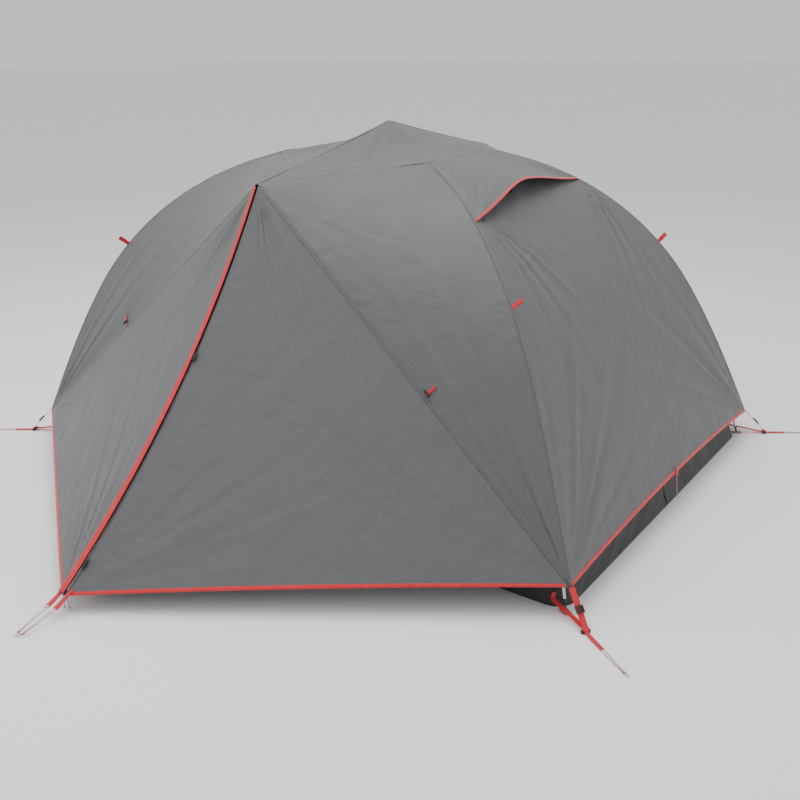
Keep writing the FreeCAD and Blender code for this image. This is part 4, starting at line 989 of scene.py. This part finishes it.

# %% [markdown]
# ### Vents
# A hood stands over the opening at each end. It is sewn down along its top and both sides, and a
# stiff prop lifts its free edge, so it is the end's own surface raised by a bulge that grows
# towards that edge.


# %% Hoods, edges and netting
HOOD_SIDE_REACH = 0.20     # how much further down its near side reaches, as a share
HOOD_LIFT = 0.054          # how far the prop holds the free edge off the end
HOOD_CLOTH_LIFT = 0.0035   # room for the prop's folded strut under the rest of it
HOOD_SEAM_LIFT = 0.0008    # cloth on cloth where it is sewn down


def roof_edge_rise(v):
    """How far the poles hold the roof's last row above the straight cross seam."""
    edge = roof_surface(np.abs(2 * v - 1), np.ones_like(v), 1)
    return edge[..., 2] - fly_seam(np.array(0.0), 1)[2]


def sewn_hood(u, v):
    """Hood with its lift brought to nothing along its top and sides. Its peak is over the prop,
    because v to the power 0.7 is a half there, and its near side reaches further down the pole."""
    held = smooth_step(u / 0.05) * smooth_step(v / 0.035) * smooth_step((1 - v) / 0.035)
    reach = HOOD_U * u * (1 + HOOD_SIDE_REACH * (1 - smooth_step(v / 0.45)))
    slope = pole_at(VENT_TOP_RUN + (HEM_RUN - VENT_TOP_RUN) * reach)[2]
    rise = HOOD_CLOTH_LIFT + HOOD_LIFT * np.sin(math.pi * np.clip(v, 0, 1) ** 0.7) ** 1.5 * u ** 1.6
    square = np.stack([np.sin(slope), 0 * slope, np.cos(slope)], -1)
    joined = roof_edge_rise(np.asarray(v, float)) * (1 - smooth_step(u / 0.4))
    return end_surface(reach, v) + square * (HOOD_SEAM_LIFT + rise * held + joined)[..., None]


points = sewn_hood(*grid(np.linspace(0, 1, 34), np.linspace(0, 1, 96)))
hood_foot = [sewn_hood(np.array(1.0), np.array(t)) for t in (0.0, 1.0)]
hood_top = sewn_hood(np.array(0.35), np.array(0.5))
hood = creased(points, [(hood_foot[0], hood_top, 0.4, 5, 0.09, 0.0026),
                        (hood_foot[1], hood_top, 0.4, 5, 0.09, 0.0026)],
               [("top", 0.030, 0.0010), ("start", 0.030, 0.0008), ("end", 0.030, 0.0008)], 71, 0.6,
               edge=0.016)
hood_tape, kind = edge_tape(sewn_hood, float(HOOD_U) * END_LENGTH, BINDING_WIDTH, 0.0026,
                            (0.004, 0.996))
net = end_surface(*grid(np.linspace(0.0, PANEL_TOP_U + 0.006, 26), np.linspace(0.004, 0.996, 60)))
net = net - outward_normals(net) * 0.0015

fall = sewn_hood(np.array(1.0), np.array(0.0)) - sewn_hood(np.array(0.0), np.array(0.0))
for end, turn in ENDS:
    anchor = sewn_hood(np.array(0.0), np.array(0.5)) * turn
    soft = [make_piece("hood_cloth_" + end, [hood * turn], hood_cloth, "root", ("vent_hoods",),
                       thickness=FLY_THICK),
            make_piece("hood_edge_" + end, [(hood_tape * turn, kind)], red_binding, "root",
                       ("vent_hoods",)),
            make_piece("vent_net_" + end, [net * turn], vent_netting, "root", ("vent_mesh",),
                       thickness=0.0004)]
    for piece in soft:
        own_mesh(piece)
print("hoods", len(soft[0].data.polygons), "faces each")

# %% [markdown]
# ### Seam tapes
# Each seam of the fly is folded twice and stitched, which leaves a raised strip with a line of
# stitching near each edge. The strip over a pole is shaped by the two panels that meet there.


# %% Seam strips
def seam_strip(middle, one, other, lift=0.0006):
    """Strip over a seam: from a line on one panel, over the seam, to a line on the other."""
    points = np.stack([one, mix(one, middle, np.full(len(one), 0.6)), middle,
                       mix(other, middle, np.full(len(other), 0.6)), other], 1)
    return points + outward_normals(points) * lift


strips = []
STRIP = 0.0055             # half of a strip's width
DOOR_STRIP = 0.0060
for turn in (SAME, TURN):
    for sx in (-1, 1):
        u = np.linspace(PANEL_TOP_U * 0.02, 0.994, 150)
        middle = fly_seam(u, sx)
        width = np.linalg.norm(middle - door_seam(u, sx), axis=-1)
        one = side_surface(u, 1 - np.minimum(STRIP / width, 0.9), sx)
        span = 2 * np.abs(middle[:, 1])
        other = end_surface(u, STRIP / span) * np.array([sx, 1, 1])
        strips.append(seam_strip(middle, one, other) * turn)
        u = np.linspace(0.012, 0.985, 130)
        width = np.linalg.norm(fly_seam(u, sx) - door_seam(u, sx), axis=-1)
        door_width = np.linalg.norm(on_zip(u) - door_seam(u, sx), axis=-1)
        strips.append(seam_strip(door_seam(u, sx),
                                 side_surface(u, np.minimum(DOOR_STRIP / width, 0.9), sx),
                                 door_surface(u, 1 - np.minimum(0.004 / door_width, 0.9), sx)) * turn)
    u = np.linspace(0.02, 0.985, 70)
    sides = [roof_surface(u, np.full_like(u, STRIP / VENT_TOP), sx) for sx in (-1, 1)]
    strips.append(seam_strip(roof_surface(u, np.zeros_like(u), 1), sides[0], sides[1]) * turn)
piece = make_piece("seam_strips", strips, grey_tape, "root", thickness=0.0007)
print(len(strips), "seam strips")

# %% [markdown]
# ## Webbing and tabs
# Every strap is a flat section carried along a path. At each corner a strap from the tub and one
# from the fly meet at an anchor bar, and a tongue runs on from it to the pegging cord. A strap
# goes over the bar's rail and down into its slot, as webbing does.

# %% Corner straps
ANCHOR_REACH = 0.100
TONGUE_LENGTH = 0.070
TONGUE_WIDTH = 0.012
PEG_RADIUS = 0.0009
PEG_CORD_LENGTH = 0.098
UP = np.array([0, 0, 1.0])


def corner_frame(sx, sy):
    """Outward and sideways directions at a floor corner, and its anchor bar's centre."""
    side = np.array([sx * DIAGONAL[0], sy * DIAGONAL[1], 0])
    across = np.array([-side[1], side[0], 0]) * (-sx * sy)
    return side, across, side * (half_diagonal + ANCHOR_REACH)


floor_straps, tongues, fly_straps = [], [], []
for sx, sy in CORNERS:
    side, across, bar = corner_frame(sx, sy)
    start = np.array([sx * (FLOOR_LENGTH / 2 - 0.033), sy * (FLOOR_WIDTH / 2 + 0.003), 0.026])
    end = bar - side * 0.0065 + across * 0.004 + UP * 0.0062
    up_wall = start + np.array([-sx * 0.004, -sy * 0.0065, 0.020])
    path = smooth_path([up_wall, start, mix(start, end, 0.5), mix(start, end, 0.93),
                        bar - side * 0.0046 + across * 0.004 + UP * 0.0098,
                        bar - side * 0.0020 + across * 0.004 + UP * 0.0096,
                        bar - side * 0.0008 + across * 0.004 + UP * 0.0040], 60)
    floor_straps.append(ribbon(path, np.cross(end - start, UP), STRAP_WIDTH, 0.0012))
    path = smooth_path([bar + side * 0.0008 + UP * 0.0040, bar + side * 0.0020 + UP * 0.0096,
                        bar + side * 0.0048 + UP * 0.0096, bar + side * 0.0085 + UP * 0.0045,
                        bar + side * 0.016 + UP * 0.0027, bar + side * 0.045 + UP * 0.0024,
                        bar + side * (0.0045 + TONGUE_LENGTH + 0.002) + UP * 0.0024], 50)
    tongues.append(ribbon(path, across, TONGUE_WIDTH, 0.0024))
    corner = fly_seam(np.array(1.0), sx, sy)
    top = corner + side * 0.003 - UP * 0.003
    foot = bar + UP * 0.0105
    ahead = unit(foot - top)
    lift = np.cross(across, ahead)
    lift = lift * np.sign(dot(lift, side))
    path = smooth_path([corner + side * 0.0026 - UP * 0.001, top + lift * 0.00075,
                        mix(top, foot, 0.5) + lift * 0.00075, foot + lift * 0.0004,
                        foot + side * 0.004 - UP * 0.0006], 40)
    fly_straps.append(ribbon(path, across, FLY_STRAP_WIDTH, 0.0014))
make_piece("tub_straps", floor_straps, red_webbing, "root", ("floor_corner_straps",))
make_piece("peg_tongues", tongues, red_webbing, "root", ("floor_corner_straps",))
make_piece("fly_straps", fly_straps, red_wide_webbing, "root", ("fly_corner_straps",))
print("corner straps made")

# %% [markdown]
# ### Grommet tabs
# The tab under each pole tip is webbing with a hole for its grommet. Its grid runs from the hole's
# edge out to the tab's edge, so the hole is round and the tab stays one surface.


# %% Tabs with a hole
def holed_tab(centre, side, across, back, front, width, hole, count=72):
    """Rays from the hole's centre: each runs from the hole's edge to the tab's outline, which is
    the nearest of its four straight sides, with the corners a little rounded."""
    turn, share = grid(np.linspace(0, 2 * math.pi, count + 1), np.linspace(0, 1, 6))
    ahead, aside = np.cos(turn), np.sin(turn)
    reach = np.where(ahead > 0, front, back)
    outline = (np.abs(ahead / reach) ** 9 + np.abs(aside / (width / 2)) ** 9) ** (-1 / 9)
    radius = hole + (outline - hole) * share
    return centre + side * (ahead * radius)[..., None] + across * (aside * radius)[..., None]


GROMMET_HOLE = 0.0052
TIP_LENGTH = 0.034
POLE_DROP = 0.010
foot_reach, foot_height, foot_slope = (float(x) for x in pole_at(RUNS[-1] - TIP_LENGTH / 2))
tabs = []
for sx, sy in CORNERS:
    side, across, _ = corner_frame(sx, sy)
    drop = POLE_DROP if sx * sy > 0 else 0.0
    hole_reach = foot_reach + (foot_height - drop - 0.0022) / math.tan(foot_slope)
    back_reach = hole_reach - (half_diagonal - 0.0166)
    tabs.append(holed_tab(side * hole_reach + UP * 0.0036, side, across, back_reach, 0.016, 0.020,
                          GROMMET_HOLE + 0.0032))
make_piece("tip_tabs", tabs, red_webbing, "root", ("grommet_tabs",),
           thickness=0.0015, weld=0.00001, inside=np.array([0, 0, -50.0]))
print("hole reach", round(hole_reach, 4))

# %% [markdown]
# ### Guy-out tabs, hem tabs and tie-backs
# Guy lines tie to a folded loop on each pole seam, and a tab at the middle of each end's hem holds
# its own pegging cord. A tie-back's loop is buttoned over a toggle to hold a rolled door.

# %% Small loops
GUY_HEIGHT = 0.735
GUY_LEAN = 0.45
guy_run = run_at_height(GUY_HEIGHT, FLY_OFFSET)
loops = []
for sx, sy in CORNERS:
    side = np.array([sx * DIAGONAL[0], sy * DIAGONAL[1], 0])
    slope = float(pole_at(guy_run)[2])
    normal = side * math.sin(slope) + UP * math.cos(slope)
    across = np.array([-side[1], side[0], 0])
    width_way = np.cross(across, normal)
    foot = seam(guy_run, sx, sy, FLY_OFFSET, HEM_FLARE)
    ahead = unit(normal + across * GUY_LEAN)
    path = folded_loop(foot - ahead * 0.001, ahead, across, 0.040, 0.0013)
    loops.append(ribbon(path, width_way, 0.014, 0.0011))
mid_hem = end_surface(np.array(1.0), np.array(0.5))
path = smooth_path([mid_hem + [x, 0, z] for x, z in
                    ((0.0034, 0.022), (0.0036, 0.008), (0.0036, -0.003), (0.0040, -0.0085),
                     (0.0030, -0.0105), (0.0018, -0.008), (0.0004, 0.001))], 40)
hem_tab, kind = ribbon(path, np.array([0, 1.0, 0]), 0.014, 0.0011)
loops += [(hem_tab, kind), (hem_tab * TURN, kind)]
make_piece("guy_loops", loops, red_webbing, "root", ("guy_out_tabs",))

ties = []
for sx in (-1, 1):
    seam_point = door_seam(TIE_PLACE, sx)
    down = unit(CORNER[sx] - DOOR_TOP)
    normal = np.cross(down, unit(fly_seam(np.array(TIE_PLACE), sx) - seam_point))
    normal = unit(normal * -np.sign(normal[1]))
    sideways = np.cross(normal, down)
    sideways = sideways * np.sign(sideways[0] * sx)
    start = seam_point + sideways * 0.010 + normal * 0.0025
    path = smooth_path([start - sideways * 0.003 - normal * 0.0012, start, start + sideways * 0.012
                        + normal * 0.0012, start + sideways * 0.024 + normal * 0.0004,
                        start + sideways * 0.034 + normal * 0.0016 - down * 0.0008], 30)
    tie, kind = ribbon(path, down, 0.009, 0.0012)
    ties += [(tie, kind), (tie * TURN, kind)]
make_piece("tie_backs", ties, red_webbing, "root", ("tie_back_loops",))
print(len(loops), "guy and hem loops,", len(ties), "tie-backs")

# %% [markdown]
# ## Cords
# Every pegging loop is two strands of thin cord that meet in a knot with a short tail. Each strand
# is one curve of a fixed length, stretched towards its peg. The zip pulls hang from the slider and
# end in a moulded bead.


# %% Cord, knot and bead
def cord(name, node, body, start, end, radius, material):
    """Straight strand with a point six diameters in from each end, so that the ends stay straight."""
    curve = bpy.data.curves.new(name, "CURVE")
    curve.dimensions = "3D"
    spline = curve.splines.new("NURBS")
    ahead = unit(end - start) * 12 * radius
    route = [start, start + ahead, end - ahead, end]
    spline.points.add(len(route) - 1)
    for point, place in zip(spline.points, route):
        point.co = (*place, 1)
    spline.order_u = 3
    spline.use_endpoint_u = True
    curve.bevel_depth = radius
    curve.bevel_resolution = 3
    curve.use_fill_caps = True
    curve.materials.append(material)
    piece = bpy.data.objects.new(name, curve)
    bpy.context.collection.objects.link(piece)
    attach(piece, body)
    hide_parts(node)
    return piece


def knot(name, body, place, ahead, size, radius, material, tail=0.014):
    """Overhand knot: a cord along the trefoil x = sin t + 2 sin 2t, y = cos t - 2 cos 2t,
    z = -sin 3t, with a tail that runs on."""
    ahead = unit(ahead)
    side = unit(np.cross(ahead, [0.12, 0.05, 1.0]))
    lift = np.cross(side, ahead)
    t = np.linspace(0, 2 * math.pi, 61)
    shape = np.stack([(np.sin(t) + 2 * np.sin(2 * t)) / 3, (np.cos(t) - 2 * np.cos(2 * t)) / 3,
                      -np.sin(3 * t) / 2.6], -1) * size
    path = place + shape @ np.stack([ahead, side, lift])
    ray = unit(path - place)
    forward = unit(np.gradient(path, axis=0))
    forward[[0, -1]] = unit(forward[0] + forward[-1])
    across = unit(ray - forward * dot(ray, forward)[:, None])
    lifted = np.cross(forward, across)
    loop, _ = sweep(path, across, lifted, round_profile(radius, 8))
    loop = np.concatenate([loop, loop[:, :1]], axis=1)
    end = smooth_path([place + ahead * size * 0.3, place + ahead * size + side * size * 0.3,
                       place + ahead * (size + tail * 0.6) + side * size * 0.2,
                       place + ahead * (size + tail) + side * size * 0.9], 16)
    sides, lifts = framed(end, np.broadcast_to(side, end.shape))
    tail_patch = sweep(end, sides, lifts, round_profile(radius, 8))
    piece = make_piece(name, [(loop, "closed"), tail_patch], material, body, weld=0.00001)
    return piece


def bead(name, body, place, ahead, radius, material):
    """Drop-shaped bead: a circle whose radius swells as a sine and is widest past the middle."""
    ahead = unit(ahead)
    side = unit(np.cross(ahead, [0.3, 1.0, 0.1]))
    lift = np.cross(ahead, side)
    share = np.linspace(0, 1, 24)
    swell = radius * (0.32 + 0.68 * np.sin(math.pi * share ** 1.5) ** 0.8)
    swell[-1] = radius * 0.12
    turn = np.arange(16) / 16 * 2 * math.pi
    circle = np.cos(turn)[:, None] * side + np.sin(turn)[:, None] * lift
    path = place + ahead * (share * radius * 4.4)[:, None]
    piece = make_piece(name, [(path[:, None] + circle[None] * swell[:, None, None], "tube")],
                       material, body)
    return piece


print("cord, knot and bead ready")

# %% Corner, door, hem and zip cords
STRAND_ASIDE = 0.005       # each strand's start, to its side of the loop's middle
STRAND_CLOSE = 0.25        # share of that left at the knot
KNOT_SIZE = 0.0036
KNOT_RADIUS = 0.0011       # cord drawn tight in a knot bulges a little
for sx, sy in CORNERS:
    side, across, bar = corner_frame(sx, sy)
    label = {1: "far", -1: "near"}[sy] + {1: "_right", -1: "_left"}[sx]
    node = {1: "peg_cords_right", -1: "peg_cords_left"}[sx]
    start = bar + side * (0.005 + TONGUE_LENGTH) + UP * 0.0015
    end = start + side * PEG_CORD_LENGTH
    tied = knot("peg_knot_" + label, "root", end + side * 0.0025 + UP * 0.0022, side + across * 0.2,
                KNOT_SIZE, KNOT_RADIUS, peg_braid)
    for i, aside in enumerate((-STRAND_ASIDE, STRAND_ASIDE)):
        cord(f"peg_cord_{label}_{i + 1}", node, "root", start + across * aside,
             end + across * aside * STRAND_CLOSE, PEG_RADIUS, peg_braid)

for end_name, turn in HALVES:
    for sx in (-1, 1):
        name = DOOR_NAME[end_name, sx]
        start = on_zip(1.0, sx * STRAP_ASIDE) + np.array([0, -0.0015, -0.004])
        tip = start + strap_ahead * (FOOT_STRAP_LENGTH + 0.0005) + UP * 0.0005
        end = tip + np.array([sx * -0.006, -PEG_CORD_LENGTH * 0.95, -tip[2] + 0.008])
        tied = knot("door_knot_" + name, "door_" + name, (end + unit(end - tip) * 0.0025) * turn,
                    ((end - tip) + np.array([sx * -0.02, 0, 0])) * turn, KNOT_SIZE, KNOT_RADIUS,
                    peg_braid, 0.011)
        for i, aside in enumerate((-STRAND_ASIDE, STRAND_ASIDE)):
            shift = np.array([aside, 0, 0])
            cord(f"door_cord_{name}_{i + 1}", "peg_cords_" + name, "door_" + name,
                 (tip + shift) * turn, (end + shift * STRAND_CLOSE) * turn, PEG_RADIUS, peg_braid)

loop_top = mid_hem + np.array([0.003, 0, -0.006])
for label, turn in ENDS:
    end = loop_top + np.array([0.006, 0, -0.064])
    tied = knot("hem_knot_" + label, "root", (end + np.array([0.0005, 0, -0.0025])) * turn,
                np.array([0.1, 0.1, -1.0]) * turn, 0.0028, PEG_RADIUS, peg_braid, 0.009)
    for i, aside in enumerate((-STRAND_ASIDE, STRAND_ASIDE)):
        cord(f"hem_cord_{label}_{i + 1}", "hem_cords", "root",
             (loop_top + np.array([0, aside, 0])) * turn, (end + np.array([0, aside * 0.4, 0])) * turn,
             PEG_RADIUS, peg_braid)

PULL_RADIUS = 0.0010
pull_top = np.array([0, -1.47267, 0.04706])    # eye of the slider's tab, at the zip's foot
for end_name, turn in HALVES:
    for i, (dx, dy) in enumerate(((-0.004, -0.003), (0.004, 0.003))):
        start = (pull_top + np.array([dx, dy, -0.001])) * turn
        end = (pull_top + np.array([dx * 1.6, dy, -0.034])) * turn
        drop = bead(f"pull_bead_{end_name}_{i + 1}", "fly_slider_" + end_name,
                    end - unit(end - start) * 0.002, end - start, 0.0024, dark_braid)
        cord(f"zip_pull_{end_name}_{i + 1}", "zip_pulls_" + end_name, "fly_slider_" + end_name,
             start, end, PULL_RADIUS, dark_braid)
print("cords made")

# %% [markdown]
# ## Inner tent and floor
# The inner tent hangs inside the poles from its clips: two end walls, four shoulders, a roof and
# two flat side walls, each with a D-shaped door. Its netting starts 42 cm up, over plain cloth.
# The floor is a shallow tub of coated cloth with rounded corners.


# %% Shapes of the inner walls
INNER_TOP = np.array([0, -0.610, 0.955])
INNER_APEX = np.array([0, 0, CROSSING_HEIGHT - 2 * INNER_OFFSET])


def inner_seam(u, sx, sy=-1):
    """Inner tent's seam under a pole, from its cross seam (0) to the tub (1)."""
    return seam(INNER_TOP_RUN + (INNER_FOOT_RUN - INNER_TOP_RUN) * u, sx, sy, -INNER_OFFSET)


def inner_shoulder(u, v, sx):
    """Straight across from the side wall's edge to the pole's seam."""
    return mix(mix(INNER_TOP, inner_seam(np.array(1.0), sx), u), inner_seam(u, sx), v)


def inner_roof(u, v, sx):
    """Quarter of the roof: straight across from a slack ridge to the cross seam."""
    corner = inner_seam(np.array(0.0), sx)
    ridge = mix(INNER_APEX, INNER_TOP, u)
    ridge[..., 2] -= RIDGE_SLACK * 4 * u * (1 - u)
    return mix(ridge, mix(np.array([corner[0], 0, corner[2]]), corner, u), v)


wall_foot = inner_seam(np.array(1.0), 1)
wall_up = np.array([0, INNER_TOP[1] - wall_foot[1], INNER_TOP[2] - wall_foot[2]])
WALL_HEIGHT = float(np.linalg.norm(wall_up))
wall_up = wall_up / WALL_HEIGHT
wall_out = np.array([0, -wall_up[2], wall_up[1]])
WALL_HALF_FOOT = wall_foot[0] - 0.006
WALL_HALF_TOP = 0.014
WALL_TOP = WALL_HEIGHT - 0.016
DOOR_RISE = 0.360          # centre of the D, up the wall
DOOR_RADIUS = 0.330
DOOR_HINGE_OUT = 0.245     # its straight side, out from that centre
DOOR_GAP = 0.007           # half the zip's width


def on_wall(x, rise):
    """Point of the flat side wall: x along its foot and a rise up its slope."""
    shape = np.zeros((*np.shape(x), 3))
    shape[..., 0] = x
    return shape + np.array([0, wall_foot[1], wall_foot[2]]) + wall_up * np.asarray(rise)[..., None]


def d_reach(turn, radius, hinge_out):
    """Distance from the centre to a D's edge: the radius, or the straight side where nearer."""
    cosine = np.cos(turn)
    return np.where(cosine < 0, np.minimum(radius, hinge_out / np.maximum(-cosine, 1e-6)), radius)


def wall_reach(turn):
    """Distance from the D's centre to the wall's outline: its foot, its top, or a slanting side
    whose half width falls evenly from foot to top."""
    x, y = np.abs(np.cos(turn)), np.sin(turn)
    taper = (WALL_HALF_FOOT - WALL_HALF_TOP) / WALL_TOP
    slanting = (WALL_HALF_FOOT - taper * DOOR_RISE) / np.maximum(x + taper * y, 1e-6)
    foot = np.where(y < 0, DOOR_RISE / np.maximum(-y, 1e-6), 9)
    top = np.where(y > 0, (WALL_TOP - DOOR_RISE) / np.maximum(y, 1e-6), 9)
    return np.minimum(np.where(x + taper * y > 0, slanting, 9), np.minimum(foot, top))


d_corner = math.acos(DOOR_HINGE_OUT / DOOR_RADIUS)
foot_corner = math.atan2(-DOOR_RISE, WALL_HALF_FOOT)
top_corner = math.atan2(WALL_TOP - DOOR_RISE, WALL_HALF_TOP)
corners = np.array([foot_corner, top_corner, -math.pi - foot_corner, math.pi - top_corner,
                    math.pi - d_corner, d_corner - math.pi])
turns = np.unique(np.concatenate([np.linspace(-math.pi, math.pi, 181), corners]))
turns = turns[np.concatenate([[True], np.diff(turns) > 1e-4])]
share, turn_grid = grid(np.linspace(0, 1, 16), turns)
near = d_reach(turn_grid, DOOR_RADIUS + DOOR_GAP, DOOR_HINGE_OUT + 0.001)
reach = near + (wall_reach(turn_grid) - near) * share
side_wall = on_wall(np.cos(turn_grid) * reach, DOOR_RISE + np.sin(turn_grid) * reach)
share, turn_grid = grid(np.linspace(0, 1, 14), turns)
reach = d_reach(turn_grid, DOOR_RADIUS - DOOR_GAP, DOOR_HINGE_OUT - 0.001) * share
bulge = 0.004 * (1 - share ** 2) * np.sin(3 * turn_grid + 1) * share
inner_door = on_wall(np.cos(turn_grid) * reach, DOOR_RISE + np.sin(turn_grid) * reach)
inner_door = inner_door + wall_out * bulge[..., None]

print("side wall and its door", side_wall.shape, inner_door.shape)

# %% Inner cloth and doors
INNER_THICK = 0.0006
walls = []
for turn in (SAME, TURN):
    u, v = grid(np.linspace(0, 1, 60), np.linspace(0, 1, 50))
    points = mix(inner_seam(u, 1, -1), inner_seam(u, 1, 1), v)
    walls.append(creased(points, (), (), 81) * turn)
    for sx in (-1, 1):
        walls.append(creased(inner_shoulder(*grid(np.linspace(0, 1, 56), np.linspace(0, 1, 16)), sx),
                             (), (), 83 + sx) * turn)
        walls.append(creased(inner_roof(*grid(np.linspace(0, 1, 34), np.linspace(0, 1, 20)), sx),
                             (), (), 87 + sx) * turn)
inner = make_piece("inner_canopy", walls, inner_netting, "root",
                   ("inner_end_walls", "inner_shoulders", "inner_roof"),
                   thickness=INNER_THICK, weld=0.0004)
for end, turn in HALVES:
    wall = make_piece("inner_wall_" + end, [side_wall * turn], inner_netting, "root",
                      ("inner_side_wall_" + end,), thickness=INNER_THICK, weld=0.00005)
    leaf = make_piece("inner_door_cloth_" + end, [inner_door * turn], inner_netting,
                      "inner_door_" + end, ("inner_door_" + end,),
                      thickness=INNER_THICK, weld=0.00005)
print("inner tent made, wall height", round(WALL_HEIGHT, 3))


# %% Floor tub
def rounded_outline(half_x, half_y, radius, share):
    """Rounded rectangle by share of a turn: each quarter is a straight run, a round corner and
    another straight run."""
    quarter = np.floor(share * 4).clip(0, 3)
    t = share * 4 - quarter
    a, b = half_y - radius, half_x - radius
    first = np.where(quarter % 2 == 0, a, b)
    last = np.where(quarter % 2 == 0, b, a)
    bend = radius * math.pi / 2
    total = first + bend + last
    run = t * total
    angle = np.clip((run - first) / radius, 0, math.pi / 2)
    ahead = np.where(quarter % 2 == 0, half_x, half_y)
    x = ahead - radius + radius * np.cos(angle) - np.clip(run - first - bend, 0, None)
    y = np.minimum(run, first) + radius * np.sin(angle)
    spin = quarter * math.pi / 2
    return np.stack([x * np.cos(spin) - y * np.sin(spin), x * np.sin(spin) + y * np.cos(spin)], -1)


TUB_TOP_X = wall_foot[0] + 0.010
TUB_TOP_Y = -wall_foot[1] + 0.006
heights = np.concatenate([np.zeros(6), np.linspace(0, 1, 13)[1:]])
scales = np.concatenate([[0, 0.3, 0.6, 0.85, 0.96, 1.0], np.ones(12)])
level, share = grid(np.arange(len(heights)), np.linspace(0, 1, 481))
rise = heights[level]
half_x = FLOOR_LENGTH / 2 + (TUB_TOP_X - FLOOR_LENGTH / 2) * rise
half_y = FLOOR_WIDTH / 2 + (TUB_TOP_Y - FLOOR_WIDTH / 2) * rise
plan = rounded_outline(half_x, half_y, 0.060, share)
tub = np.concatenate([plan * scales[level][..., None], (rise * TUB_HEIGHT + 0.0002)[..., None]], -1)
perimeter = lengths(tub, 1)
fold = (0.0022 * np.sin(perimeter / 0.043) * np.sin(perimeter / 0.31 + 1)
        + 0.0013 * np.sin(perimeter / 0.019 + 2)) * np.sin(math.pi * rise)
away = np.concatenate([unit(plan), np.zeros((*plan.shape[:2], 1))], -1)
tub = tub + away * fold[..., None]
piece = make_piece("floor_cloth_tub", [tub], floor_cloth, "root", ("floor_tub",),
                   thickness=0.0011, weld=0.00005, inside=np.array([0, 0, 0.6]))
print("tub", len(piece.data.polygons), "faces")
